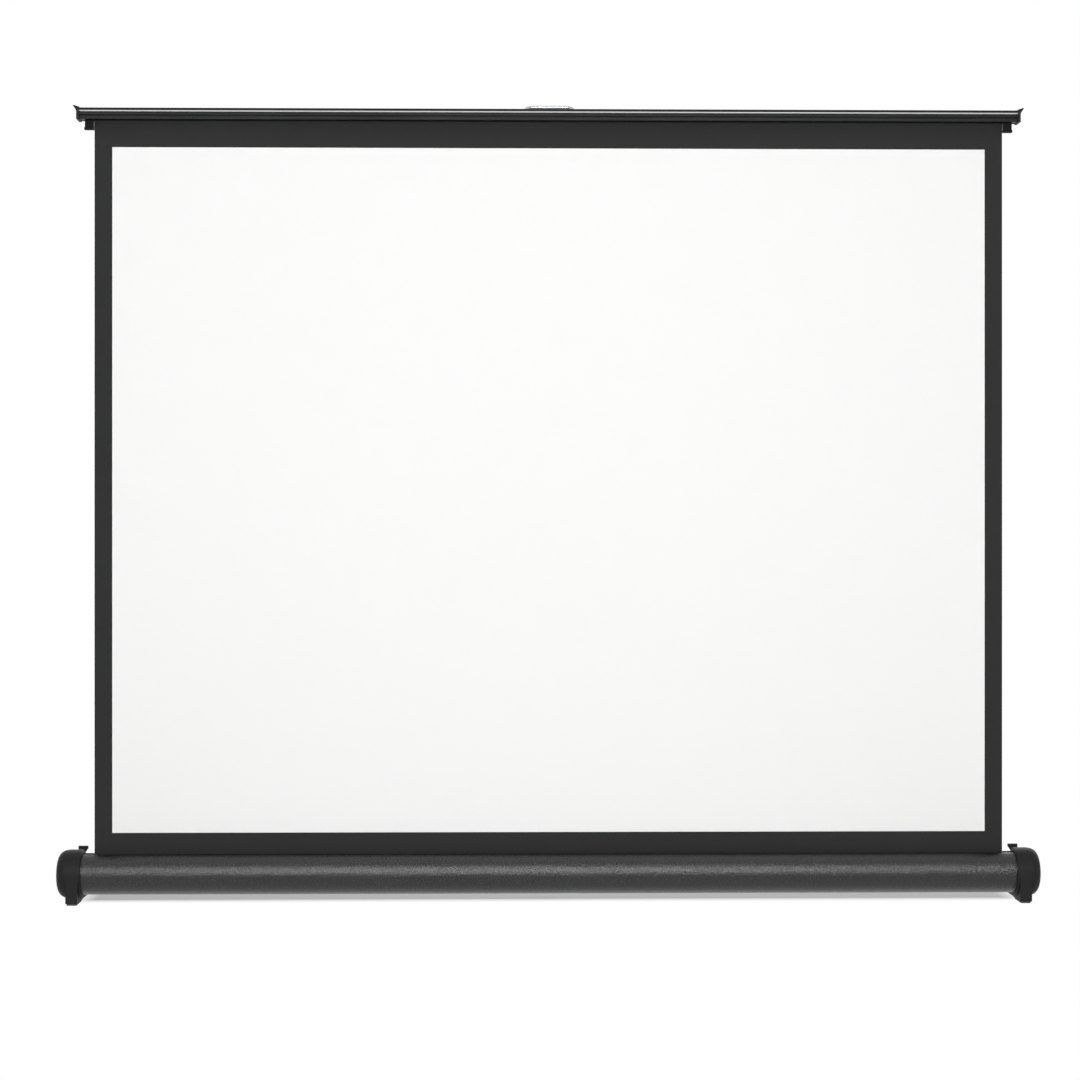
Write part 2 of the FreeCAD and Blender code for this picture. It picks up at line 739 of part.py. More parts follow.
def make_top_bar():
    """Ribbed bar: a rounded bead over two stepped-back ribs, with a channel for the hem."""
    body = new_body("top_bar", 0, axis_y, bar_z)
    bead_foot = d.bar_height - d.bead_height
    mid_top = bead_foot - d.groove_height
    mid_foot = mid_top - d.rib_height
    low_top = mid_foot - d.groove_height
    mid_front = d.bar_front - d.rib_step
    low_front = mid_front - d.rib_step
    upper_groove = mid_front - d.groove_depth
    lower_groove = low_front - d.groove_depth
    outline = [
        (-low_front, 0),
        (d.bar_rear, 0),
        (d.bar_rear, d.bar_height),
        (-d.bar_front, d.bar_height),
        (-d.bar_front, bead_foot),
        (-upper_groove, bead_foot),
        (-upper_groove, mid_top),
        (-mid_front, mid_top),
        (-mid_front, mid_foot),
        (-lower_groove, mid_foot),
        (-lower_groove, low_top),
        (-low_front, low_top),
    ]
    pad(body, draw_polygon(sketch_on(body, "YZ_Plane"), outline), 2 * bar_half, middle=True)
    along = Vector(1, 0, 0)
    soften(body, d.bead_round, lambda e: runs_along(e, along) and near(mid_of(e).y, -d.bar_front))
    rib_faces = (-mid_front, -low_front, d.bar_rear)
    soften(body, d.rib_round, lambda e: runs_along(e, along) and any(near(mid_of(e).y, y) for y in rib_faces))
    channel = draw_circle(sketch_on(body, "YZ_Plane"), d.fabric_setback, d.channel_rise, channel_radius)
    pocket(body, channel, middle=True)
    half = d.slit_width / 2
    slit = sketch_on(body, "YZ_Plane")
    draw_box(slit, d.fabric_setback - half, d.fabric_setback + half, -d.bar_height, d.channel_rise)
    pocket(body, slit, middle=True)
    keep(body, "top_bar")


def make_bar_end_caps():
    """Plate on each end of the bar, flared outwards into a horn at the top."""
    body = new_body("bar_end_cap", bar_half, axis_y, bar_z)
    top = d.bar_height + d.horn_rise
    reach = d.bar_cap_thickness + d.horn_reach
    flare = d.bar_height + d.horn_rise - d.horn_height
    outline = [
        (0, -d.bar_cap_margin),
        (d.bar_cap_thickness, -d.bar_cap_margin),
        (d.bar_cap_thickness, flare),
        (reach, top),
        (reach - d.horn_lip, top),
        (d.bar_cap_margin, d.bar_height + d.bar_cap_margin),
        (0, d.bar_height + d.bar_cap_margin),
    ]
    plate = sketch_on(body, "XZ_Plane", -(d.bar_rear + d.bar_cap_margin))
    draw_polygon(plate, outline)
    pad(body, plate, d.bar_front + d.bar_rear + 2 * d.bar_cap_margin)
    soften(body, d.horn_height, lambda e: runs_along(e, Vector(0, 1, 0)) and near(mid_of(e).z, flare))
    keep_both_sides(body, "bar_end_cap")


def make_bar_plugs():
    """Block under the bar's end, hung from a tongue in the hem channel; it drops into the casing's slot."""
    start = fabric_half + d.plug_side_gap
    width = cap_inner - d.plug_end_gap - d.plug_lip - start
    body = new_body("bar_plug", start, fabric_y, bar_z)
    tongue = sketch_on(body, "YZ_Plane")
    draw_circle(tongue, 0, d.channel_rise, channel_radius - d.seat_clearance)
    pad(body, tongue, width)
    neck_half = d.slit_width / 2 - d.seat_clearance
    neck = draw_box(sketch_on(body, "YZ_Plane"), -neck_half, neck_half, -d.plug_room * 2, d.channel_rise)
    pad(body, neck, width)
    lip_top = d.plug_lip_height - d.plug_drop
    outline = [
        (0, -d.plug_room),
        (width, -d.plug_room),
        (width, lip_top),
        (width + d.plug_lip, lip_top - d.plug_lip),
        (width + d.plug_lip, -d.plug_drop),
        (0, -d.plug_drop),
    ]
    block = draw_polygon(sketch_on(body, "XZ_Plane"), outline)
    pad(body, block, plug_depth, middle=True)
    keep_both_sides(body, "bar_plug")


def headed_pin(name, start, end, x, y, z, heads):
    """A round pin along Y between two offsets, with a head past the start, the end or both."""
    body = new_body(name, x, y, z, *ALONG_Y)
    outline = [(0, start)]
    if "start" in heads:
        outline = [(0, start - d.pin_head), (d.pin_head_radius, start - d.pin_head), (d.pin_head_radius, start)]
    outline += [(d.pin_radius, start), (d.pin_radius, end)]
    if "end" in heads:
        outline += [(d.pin_head_radius, end), (d.pin_head_radius, end + d.pin_head), (0, end + d.pin_head)]
    else:
        outline.append((0, end))
    revolve(body, outline)
    keep(body, name)


def ring_piece(name, bore, outside, start, thickness, x, y, z):
    """A flat ring about a Y axis, from an offset along it."""
    body = new_body(name, x, y, z, *ALONG_Y)
    revolve(body, [(bore, start), (outside, start), (outside, start + thickness), (bore, start + thickness)])
    return body


def make_support_base():
    """Die-cast saddle on the rear of the tube that carries the lower pivot."""
    half = d.base_height / 2
    back = d.tube_radius + d.base_thickness
    body = new_body("support_base", 0, axis_y, axis_z)
    block = draw_box(sketch_on(body, "YZ_Plane"), d.tube_radius / 2, back, -half, half)
    pad(body, block, d.base_width, middle=True)
    soften(body, half / 2, lambda e: runs_along(e, Vector(0, 1, 0)))
    pocket(body, draw_circle(sketch_on(body, "YZ_Plane"), 0, 0, d.tube_radius), middle=True)
    holes = sketch_on(body, "XZ_Plane")
    draw_circle(holes, 0, 0, d.pin_radius)
    draw_circle(holes, d.base_rivet_x, 0, d.rivet_radius)
    draw_circle(holes, -d.base_rivet_x, 0, d.rivet_radius)
    pocket(body, holes)
    keep(body, "support_base")

    pin_end = arm_front + lower_arm_width + d.side_play
    headed_pin("lower_pivot_pin", d.tube_radius, pin_end, 0, axis_y, axis_z, ("end",))
    washer = ring_piece("pivot_washer", d.pin_radius, d.washer_radius, back, d.washer_thickness - d.side_play,
                        0, axis_y, axis_z)
    keep(washer, "pivot_washer")

    rivet = new_body("base_rivet", d.base_rivet_x, axis_y, axis_z, *ALONG_Y)
    head = back + d.rivet_head
    revolve(rivet, [(0, d.tube_radius), (d.rivet_radius, d.tube_radius), (d.rivet_radius, back),
                    (d.rivet_head_radius, back), (d.rivet_radius, head), (0, head)])
    keep_group([rivet, mirrored(rivet, "base_rivet")], "base_rivets")


def make_lower_arm():
    """Channel arm, open towards the side that the upper arm folds into."""
    body = new_body("lower_arm", 0, arm_plane, axis_z, Vector(0, 1, 0), -d.over_centre)
    half = lower_arm_width / 2
    inside = half - d.lower_arm_wall
    web = web_reach + d.lower_arm_wall
    outline = [
        (-d.open_reach, -half),
        (web, -half),
        (web, half),
        (-d.open_reach, half),
        (-d.open_reach, inside),
        (web_reach, inside),
        (web_reach, -inside),
        (-d.open_reach, -inside),
    ]
    channel = draw_polygon(sketch_on(body, "XY_Plane", -d.arm_end), outline)
    pad(body, channel, arm_length + 2 * d.arm_end)
    soften(body, d.arm_end_round, lambda e: runs_along(e, Vector(0, 1, 0)) and near(mid_of(e).x, -d.open_reach))
    holes = sketch_on(body, "XZ_Plane")
    draw_circle(holes, 0, 0, pin_hole)
    draw_circle(holes, 0, arm_length, d.pin_radius)
    pocket(body, holes, middle=True)
    keep(body, "lower_arm")

    headed_pin("elbow_pin", -half, half, elbow_x, arm_plane, elbow_z, ("start", "end"))
    rings = []
    for start in (-inside, inside - d.elbow_washer):
        rings.append(ring_piece("elbow_washer", d.pin_radius, d.pin_head_radius, start, d.elbow_washer,
                                elbow_x, arm_plane, elbow_z))
    keep_group(rings, "elbow_washers")


def make_upper_arm():
    """Box-section arm that nests in the lower arm's channel."""
    body = new_body("upper_arm", elbow_x, arm_plane, elbow_z, Vector(0, 1, 0), d.over_centre)
    half_x = d.upper_arm_depth / 2
    half_y = d.upper_arm_width / 2
    section = sketch_on(body, "XY_Plane", -d.upper_arm_end)
    draw_box(section, -half_x, half_x, -half_y, half_y)
    pad(body, section, arm_length + 2 * d.upper_arm_end)
    soften(body, half_x - d.upper_end_flat, lambda e: runs_along(e, Vector(0, 1, 0)))
    hollow = sketch_on(body, "XY_Plane", d.upper_arm_end)
    wall = d.upper_arm_wall
    draw_box(hollow, wall - half_x, half_x - wall, wall - half_y, half_y - wall)
    pocket(body, hollow, arm_length - 2 * d.upper_arm_end, back=True)
    holes = sketch_on(body, "XZ_Plane")
    draw_circle(holes, 0, 0, pin_hole)
    draw_circle(holes, 0, arm_length, pin_hole)
    pocket(body, holes, middle=True)
    keep(body, "upper_arm")


def make_top_bracket():
    """Bent bracket on the bar's rear: a clevis for the upper arm and two lugs for the handle."""
    body = new_body("top_bracket", 0, axis_y, bar_z)
    sheet_thickness = d.bracket_sheet
    back_plate = sketch_on(body, "XZ_Plane", -(d.bar_rear + sheet_thickness))
    plate_top = d.bar_height - d.bar_cap_margin
    draw_box(back_plate, -d.bracket_half_width, d.bracket_half_width, 0, plate_top)
    pad(body, back_plate, sheet_thickness)
    soften(body, d.lug_drop, lambda e: runs_along(e, Vector(0, 1, 0)) and near(mid_of(e).z, plate_top))
    pivot_y = arm_plane - axis_y
    shelf_end = pivot_y + clevis_half + sheet_thickness
    shelf = sketch_on(body, "XY_Plane")
    draw_box(shelf, -d.ear_half_width, d.ear_half_width, d.bar_rear, shelf_end)
    pad(body, shelf, sheet_thickness)
    for front in (pivot_y - clevis_half - sheet_thickness, pivot_y + clevis_half):
        ear = sketch_on(body, "XZ_Plane", -(front + sheet_thickness))
        draw_box(ear, -d.ear_half_width, d.ear_half_width, -(d.pivot_drop + d.ear_end), sheet_thickness)
        pad(body, ear, sheet_thickness)
    ear_foot = -(d.pivot_drop + d.ear_end)
    soften(body, d.ear_end, lambda e: runs_along(e, Vector(0, 1, 0)) and near(mid_of(e).z, ear_foot))
    lug_y = d.bar_rear + sheet_thickness + d.lug_setback
    lug_z = d.bar_height - d.lug_drop
    for inner in (-lug_outer, lug_outer - d.lug_thickness):
        arm = sketch_on(body, "YZ_Plane", inner)
        draw_box(arm, d.bar_rear, lug_y, lug_z - d.lug_radius, plate_top)
        pad(body, arm, d.lug_thickness)
        eye = draw_circle(sketch_on(body, "YZ_Plane", inner), lug_y, lug_z, d.lug_radius)
        pad(body, eye, d.lug_thickness)
    bore = sketch_on(body, "YZ_Plane")
    draw_circle(bore, lug_y, lug_z, d.handle_wire + d.running_clearance)
    pocket(body, bore, middle=True)
    pivot = draw_circle(sketch_on(body, "XZ_Plane"), 0, -d.pivot_drop, d.pin_radius)
    pocket(body, pivot)
    rivets = sketch_on(body, "XZ_Plane")
    for side in (-1, 1):
        draw_circle(rivets, side * d.bar_rivet_x, d.channel_rise, d.rivet_radius)
    pocket(body, rivets)
    keep(body, "top_bracket")

    reach = clevis_half + sheet_thickness
    headed_pin("upper_pivot_pin", -reach, reach, 0, arm_plane, upper_pivot_z, ("start", "end"))
    thickness = clevis_half - d.upper_arm_width / 2 - d.side_play
    rings = []
    for start in (-clevis_half, clevis_half - thickness):
        rings.append(ring_piece("upper_spacer", d.pin_radius, d.pin_head_radius, start, thickness,
                                0, arm_plane, upper_pivot_z))
    keep_group(rings, "upper_spacers")

    rivet = new_body("bar_rivet", d.bar_rivet_x, axis_y, hem_z, *ALONG_Y)
    face = d.bar_rear + sheet_thickness
    revolve(rivet, [(0, d.bar_rear), (d.rivet_radius, d.bar_rear), (d.rivet_radius, face),
                    (d.rivet_head_radius, face), (d.rivet_radius, face + d.rivet_head),
                    (0, face + d.rivet_head)])
    keep_group([rivet, mirrored(rivet, "bar_rivet")], "bar_rivets")


def make_lift_handle():
    """Wire bail whose ends turn in through the bracket's lugs."""
    body = new_body("lift_handle", 0, handle_y, handle_z, Vector(1, 0, 0), d.handle_lean)
    half = d.handle_half_width
    foot = d.handle_wire + d.lug_side_gap
    corner = d.handle_corner
    depth = d.handle_depth
    inner = lug_outer - d.lug_thickness - d.lug_side_gap
    route = [
        (-inner, 0),
        (foot - half, 0),
        (-half, foot),
        (-half, depth - corner),
        (corner - half, depth),
        (half - corner, depth),
        (half, depth - corner),
        (half, foot),
        (half - foot, 0),
        (inner, 0),
    ]
    rounds = {
        1: (foot - half, foot, foot),
        3: (corner - half, depth - corner, corner),
        5: (half - corner, depth - corner, corner),
        7: (half - foot, foot, foot),
    }
    spine = draw_wire(sketch_on(body, "XY_Plane"), route, rounds)
    section = draw_circle(sketch_on(body, "YZ_Plane", -inner), 0, 0, d.handle_wire)
    doc.recompute()
    wire = body.newObject("PartDesign::AdditivePipe", "lift_handle_wire")
    wire.Profile = section
    wire.Spine = (spine, [f"Edge{i}" for i in range(1, len(route))])
    keep(body, "lift_handle")


make_casing_tube()
make_end_caps()
make_end_covers()
make_foot_pads()
make_swing_legs()
make_roller_bearings()
make_roller()
make_spring()
make_fabric()
make_top_bar()
make_bar_end_caps()
make_bar_plugs()
make_support_base()
make_lower_arm()
make_upper_arm()
make_top_bracket()
make_lift_handle()
doc.recompute()

broken = [o.Name for o in doc.Objects if "Invalid" in o.State or "Error" in o.State]
broken += [p.Label for p in sub_parts if p.Shape.isNull() or not p.Shape.isValid()]
if broken:
    raise RuntimeError(f"these did not build: {broken}")
os.makedirs("parts", exist_ok=True)
for piece in sub_parts:
    piece.Shape.exportStep(f"parts/{piece.Label}.step")
print(f"{len(sub_parts)} sub-parts written")
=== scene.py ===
"""Looks of a tabletop pull-up projection screen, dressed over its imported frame."""

import json
import logging
import math
from dataclasses import dataclass
from enum import Enum, IntEnum

import bmesh
import bpy
from mathutils import Matrix, Vector

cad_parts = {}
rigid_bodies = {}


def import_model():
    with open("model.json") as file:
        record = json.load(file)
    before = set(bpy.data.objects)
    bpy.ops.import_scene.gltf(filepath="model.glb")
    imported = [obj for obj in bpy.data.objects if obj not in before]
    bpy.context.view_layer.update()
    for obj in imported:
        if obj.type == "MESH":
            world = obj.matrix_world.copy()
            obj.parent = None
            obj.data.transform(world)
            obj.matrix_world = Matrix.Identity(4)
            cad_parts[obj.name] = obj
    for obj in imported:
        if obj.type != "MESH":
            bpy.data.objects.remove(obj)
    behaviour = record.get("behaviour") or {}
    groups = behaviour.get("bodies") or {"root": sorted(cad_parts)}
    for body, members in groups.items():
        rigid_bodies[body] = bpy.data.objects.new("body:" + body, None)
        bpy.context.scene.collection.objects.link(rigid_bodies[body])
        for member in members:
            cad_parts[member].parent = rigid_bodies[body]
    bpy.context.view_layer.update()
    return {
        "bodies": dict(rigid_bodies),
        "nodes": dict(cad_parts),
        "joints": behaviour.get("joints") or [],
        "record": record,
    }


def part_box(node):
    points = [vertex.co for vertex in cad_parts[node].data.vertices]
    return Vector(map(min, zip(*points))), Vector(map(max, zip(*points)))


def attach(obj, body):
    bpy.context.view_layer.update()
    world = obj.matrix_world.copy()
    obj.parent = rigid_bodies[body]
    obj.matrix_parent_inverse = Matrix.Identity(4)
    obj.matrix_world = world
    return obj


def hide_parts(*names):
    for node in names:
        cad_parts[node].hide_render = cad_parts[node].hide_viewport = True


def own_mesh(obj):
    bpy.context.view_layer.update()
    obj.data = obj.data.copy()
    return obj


LOG = logging.getLogger("projection_screen")
Colour = tuple[float, float, float]
Point = tuple[float, float, float]
Socket = bpy.types.NodeSocket
Inputs = dict[str | int, object]


class Effect(Enum):
    """Surface effects that several finishes share."""

    GRAIN = "fine_grain"
    RUB = "edge_rub"
    STREAK = "drawn_streaks"
    WEAVE = "plain_weave"
    MARKS = "handling_marks"


class Graph:
    """A node tree with short ways to add and join its nodes."""

    def __init__(self, tree: bpy.types.NodeTree) -> None:
        """Keep the tree that the nodes go into."""
        self.tree = tree

    def add(self, kind: str, inputs: Inputs | None = None, **options: object) -> bpy.types.Node:
        """Add a node, set its options and fill or join its inputs.

        Args:
            kind: The node's type name.
            inputs: Values, or output sockets to join, by input name or number.
            **options: Options set on the node itself.

        Returns:
            The new node.
        """
        node = self.tree.nodes.new(kind)
        for name, value in options.items():
            setattr(node, name, value)
        for name, value in (inputs or {}).items():
            self.feed(node.inputs[name], value)
        return node

    def feed(self, socket: Socket, value: object) -> None:
        """Join an output socket to an input, or set the input's own value.

        Args:
            socket: The input to fill.
            value: An output socket, a number, or a tuple of numbers.
        """
        if isinstance(value, Socket):
            self.tree.links.new(value, socket)
        elif socket.type == "RGBA":
            socket.default_value = (*value, 1.0)
        else:
            socket.default_value = value

    def maths(self, operation: str, *values: object) -> Socket:
        """Add a Math node.

        Args:
            operation: The Math node's operation.
            *values: Its inputs in order.

        Returns:
            The node's result.
        """
        return self.add("ShaderNodeMath", dict(enumerate(values)), operation=operation).outputs[0]

    def span(self, value: Socket, low: float, high: float,
             start: float = 0.0, end: float = 1.0) -> Socket:
        """Map one range of values to another, held at both ends.

        Args:
            value: The value to map.
            low: Where the range starts.
            high: Where it ends.
            start: The result at the start.
            end: The result at the end.

        Returns:
            The mapped value.
        """
        inputs = {"Value": value, "From Min": low, "From Max": high, "To Min": start, "To Max": end}
        return self.add("ShaderNodeMapRange", inputs).outputs["Result"]

    def mix(self, share: Socket, first: object, second: object) -> Socket:
        """Mix two colours.

        Args:
            share: How much of the second colour shows.
            first: A colour or a colour socket.
            second: A colour or a colour socket.

        Returns:
            The mixed colour.
        """
        node = self.add("ShaderNodeMix", data_type="RGBA")
        colours = [s for s in node.inputs if s.type == "RGBA"]
        for socket, value in ((node.inputs[0], share), (colours[0], first), (colours[1], second)):
            self.feed(socket, value)
        return next(s for s in node.outputs if s.type == "RGBA")

    def bump(self, height: Socket, strength: float, distance: float) -> Socket:
        """Turn a height into a normal.

        Args:
            height: The height, from 0 to 1.
            strength: The Bump node's strength.
            distance: What a height of 1 stands for, in metres.

        Returns:
            The normal.
        """
        inputs = {"Strength": strength, "Distance": distance, "Height": height}
        return self.add("ShaderNodeBump", inputs).outputs["Normal"]


class EffectShelf:
    """Builds each shared effect once, as a node group, and hands it out."""

    GRAIN_RANGE = (0.28, 0.72)
    SPECK_RISE = 0.07
    EDGE_TURN = (0.995, 0.86)
    RUB_SCALE = 140.0
    RUB_BREAKS = (0.35, 0.65)
    STREAK_RANGE = (0.3, 0.7)
    BAND_SHARE = 0.12
    PATCH_RANGE = (0.35, 0.7)

    def __init__(self) -> None:
        """Start with nothing built."""
        self.built: dict[Effect, bpy.types.NodeTree] = {}

    def place(self, graph: Graph, effect: Effect, **inputs: object) -> bpy.types.Node:
        """Put an effect into a material.

        Args:
            graph: The material's nodes.
            effect: Which effect.
            **inputs: Its values or sockets by name.

        Returns:
            The group node.
        """
        if effect not in self.built:
            self.built[effect] = getattr(self, effect.value)()
        node = graph.add("ShaderNodeGroup", node_tree=self.built[effect])
        for name, value in inputs.items():
            graph.feed(node.inputs[name], value)
        return node

    def start(self, effect: Effect, sockets: dict[str, float | None],
              results: list[str]) -> tuple[Graph, bpy.types.Node, bpy.types.Node]:
        """Open a new group with its named sockets.

        Args:
            effect: The effect that the group is for.
            sockets: Input names with their usual numbers, or None for a vector.
            results: Output names.

        Returns:
            The group's graph, its input node and its output node.
        """
        tree = bpy.data.node_groups.new(effect.value, "ShaderNodeTree")
        for name, usual in sockets.items():
            kind = "NodeSocketVector" if usual is None else "NodeSocketFloat"
            socket = tree.interface.new_socket(name, in_out="INPUT", socket_type=kind)
            if usual is not None:
                socket.default_value = usual
        for name in results:
            tree.interface.new_socket(name, in_out="OUTPUT", socket_type="NodeSocketFloat")
        graph = Graph(tree)
        return graph, graph.add("NodeGroupInput"), graph.add("NodeGroupOutput")

    def fine_grain(self) -> bpy.types.NodeTree:
        """Moulded or sprayed grain: a height all over and a mask of its highest spots.

        Returns:
            The group's nodes.
        """
        graph, given, result = self.start(Effect.GRAIN, {"Vector": None, "Scale": 900.0, "Cut": 0.6},
                                          ["Height", "Specks"])
        noise = graph.add("ShaderNodeTexNoise", {"Vector": given.outputs["Vector"],
                                                 "Scale": given.outputs["Scale"],
                                                 "Detail": 3.0, "Roughness": 0.6})
        height = graph.span(noise.outputs["Fac"], *self.GRAIN_RANGE)
        above = graph.maths("SUBTRACT", noise.outputs["Fac"], given.outputs["Cut"])
        graph.feed(result.inputs["Height"], height)
        graph.feed(result.inputs["Specks"], graph.span(above, 0.0, self.SPECK_RISE))
        return graph.tree

    def edge_rub(self) -> bpy.types.NodeTree:
        """Edges that hands and tables have rubbed, broken up by a soft noise.

        Returns:
            The group's nodes.
        """
        graph, given, result = self.start(Effect.RUB, {"Vector": None, "Radius": 0.0008, "Amount": 0.5},
                                          ["Mask"])
        rounded = graph.add("ShaderNodeBevel", {"Radius": given.outputs["Radius"]}, samples=4)
        true = graph.add("ShaderNodeNewGeometry")
        dot = graph.add("ShaderNodeVectorMath", {0: rounded.outputs["Normal"],
                                                 1: true.outputs["Normal"]}, operation="DOT_PRODUCT")
        edge = graph.span(dot.outputs["Value"], *self.EDGE_TURN)
        noise = graph.add("ShaderNodeTexNoise", {"Vector": given.outputs["Vector"],
                                                 "Scale": self.RUB_SCALE, "Detail": 4.0})
        broken = graph.maths("MULTIPLY", edge, graph.span(noise.outputs["Fac"], *self.RUB_BREAKS))
        graph.feed(result.inputs["Mask"], graph.maths("MULTIPLY", broken, given.outputs["Amount"]))
        return graph.tree

    def drawn_streaks(self) -> bpy.types.NodeTree:
        """Fine lines that a die or a brush leaves along a piece.

        Returns:
            The group's nodes.
        """
        graph, given, result = self.start(Effect.STREAK, {"Vector": None, "Fineness": 3000.0},
                                          ["Lines", "Bands"])
        lines = graph.add("ShaderNodeTexNoise", {"Vector": given.outputs["Vector"],
                                                 "Scale": given.outputs["Fineness"], "Detail": 2.0})
        slow = graph.maths("MULTIPLY", given.outputs["Fineness"], self.BAND_SHARE)
        bands = graph.add("ShaderNodeTexNoise", {"Vector": given.outputs["Vector"], "Scale": slow,
                                                 "Detail": 2.0})
        graph.feed(result.inputs["Lines"], graph.span(lines.outputs["Fac"], *self.STREAK_RANGE))
        graph.feed(result.inputs["Bands"], graph.span(bands.outputs["Fac"], *self.STREAK_RANGE))
        return graph.tree

    def plain_weave(self) -> bpy.types.NodeTree:
        """Threads that cross over and under, as a height.

        Returns:
            The group's nodes.
        """
        graph, given, result = self.start(Effect.WEAVE, {"Vector": None, "Pitch": 0.0005}, ["Height"])
        parts = graph.add("ShaderNodeSeparateXYZ", {"Vector": given.outputs["Vector"]})
        waves = []
        for side in ("X", "Y"):
            turns = graph.maths("DIVIDE", parts.outputs[side], given.outputs["Pitch"])
            waves.append(graph.maths("SINE", graph.maths("MULTIPLY", turns, math.pi)))
        crossing = graph.maths("MULTIPLY", *waves)
        graph.feed(result.inputs["Height"], graph.span(crossing, -1.0, 1.0))
        return graph.tree

    def handling_marks(self) -> bpy.types.NodeTree:
        """Soft uneven patches of dust and hand marks.

        Returns:
            The group's nodes.
        """
        graph, given, result = self.start(Effect.MARKS, {"Vector": None, "Scale": 9.0}, ["Patches"])
        noise = graph.add("ShaderNodeTexNoise", {"Vector": given.outputs["Vector"],
                                                 "Scale": given.outputs["Scale"],
                                                 "Detail": 5.0, "Roughness": 0.55, "Distortion": 0.4})
        graph.feed(result.inputs["Patches"], graph.span(noise.outputs["Fac"], *self.PATCH_RANGE))
        return graph.tree


SHELF = EffectShelf()


@dataclass(frozen=True)
class Finish:
    """A surface finish: its name, its colour and the even values of its shader."""

    name: str
    colour: Colour
    roughness: float
    metallic: float = 0.0
    specular: float = 0.5

    def make(self) -> bpy.types.Material:
        """Make the material.

        Returns:
            The material, with its nodes built.
        """
        material = bpy.data.materials.new(self.name)
        material.use_nodes = True
        material.diffuse_color = (*self.colour, 1.0)
        material.node_tree.nodes.clear()
        graph = Graph(material.node_tree)
        shader = graph.add("ShaderNodeBsdfPrincipled", {"Metallic": self.metallic,
                                                        "Specular IOR Level": self.specular,
                                                        "Roughness": self.roughness,
                                                        "Base Color": self.colour})
        output = graph.add("ShaderNodeOutputMaterial")
        graph.feed(output.inputs["Surface"], shader.outputs["BSDF"])
        self.dress(graph, shader)
        return material

    def dress(self, graph: Graph, shader: bpy.types.Node) -> None:
        """Give the shader what changes over the surface."""

    def place(self, graph: Graph, stretch: Point | None = None) -> Socket:
        """Object coordinates in metres, stretched where a pattern runs one way.

        Args:
            graph: The material's nodes.
            stretch: Scale along each axis.

        Returns:
            The coordinates.
        """
        spot = graph.add("ShaderNodeTexCoord").outputs["Object"]
        if stretch is None:
            return spot
        return graph.add("ShaderNodeMapping", {"Vector": spot, "Scale": stretch}).outputs["Vector"]


@dataclass(frozen=True)
class SpeckledCoat(Finish):
    """Baked black coat with fine pale flecks and a slight orange peel."""

    fleck: Colour = (0.05, 0.05, 0.051)
    fleck_scale: float = 900.0
    fleck_cut: float = 0.56
    fleck_share: float = 0.6
    peel_scale: float = 650.0
    peel_strength: float = 0.6
    peel_depth: float = 0.0004
    mark_scale: float = 11.0
    dust: Colour = (0.03, 0.03, 0.03)
    dust_share: float = 0.1
    rubbed: Colour = (0.08, 0.08, 0.082)
    rub_radius: float = 0.0008
    rub_share: float = 0.35
    dulled: float = 0.08
    glossed: float = 0.1

    def dress(self, graph: Graph, shader: bpy.types.Node) -> None:
        """Flecks, peel and uneven gloss.

        Args:
            graph: The material's nodes.
            shader: The Principled shader to feed.
        """
        spot = self.place(graph)
        flecks = SHELF.place(graph, Effect.GRAIN, Vector=spot, Scale=self.fleck_scale,
                             Cut=self.fleck_cut)
        peel = SHELF.place(graph, Effect.GRAIN, Vector=spot, Scale=self.peel_scale)
        marks = SHELF.place(graph, Effect.MARKS, Vector=spot, Scale=self.mark_scale)
        rub = SHELF.place(graph, Effect.RUB, Vector=spot, Radius=self.rub_radius, Amount=self.rub_share)
        patches = graph.maths("MULTIPLY", marks.outputs["Patches"], self.dust_share)
        dusty = graph.mix(patches, self.colour, self.dust)
        specks = graph.maths("MULTIPLY", flecks.outputs["Specks"], self.fleck_share)
        flecked = graph.mix(specks, dusty, self.fleck)
        graph.feed(shader.inputs["Base Color"], graph.mix(rub.outputs["Mask"], flecked, self.rubbed))
        rough = graph.span(flecks.outputs["Height"], 0.0, 1.0,
                           self.roughness + self.dulled, self.roughness - self.glossed)
        graph.feed(shader.inputs["Roughness"], rough)
        normal = graph.bump(peel.outputs["Height"], self.peel_strength, self.peel_depth)
        graph.feed(shader.inputs["Normal"], normal)


@dataclass(frozen=True)
class MouldedPlastic(Finish):
    """Moulded plastic with an etched grain and edges that hands have rubbed smoother."""

    worn: Colour = (0.06, 0.06, 0.062)
    grain_scale: float = 1100.0
    grain_strength: float = 0.3
    grain_depth: float = 0.00012
    mark_scale: float = 16.0
    haze_share: float = 0.25
    rub_radius: float = 0.0009
    rub_share: float = 0.6
    dulled: float = 0.12
    polish_and_painted_highlight: float = 0.2

    def dress(self, graph: Graph, shader: bpy.types.Node) -> None:
        """Grain, patches and edges rubbed smoother.

        Args:
            graph: The material's nodes.
            shader: The Principled shader to feed.
        """
        spot = self.place(graph)
        grain = SHELF.place(graph, Effect.GRAIN, Vector=spot, Scale=self.grain_scale)
        marks = SHELF.place(graph, Effect.MARKS, Vector=spot, Scale=self.mark_scale)
        rub = SHELF.place(graph, Effect.RUB, Vector=spot, Radius=self.rub_radius, Amount=self.rub_share)
        patches = graph.maths("MULTIPLY", marks.outputs["Patches"], self.haze_share)
        hazy = graph.mix(patches, self.colour, self.worn)
        graph.feed(shader.inputs["Base Color"], graph.mix(rub.outputs["Mask"], hazy, self.worn))
        rough = graph.span(marks.outputs["Patches"], 0.0, 1.0,
                           self.roughness, self.roughness + self.dulled)
        smoother = graph.maths("MULTIPLY", rub.outputs["Mask"], self.polish_and_painted_highlight)
        graph.feed(shader.inputs["Roughness"], graph.maths("SUBTRACT", rough, smoother))
        normal = graph.bump(grain.outputs["Height"], self.grain_strength, self.grain_depth)
        graph.feed(shader.inputs["Normal"], normal)


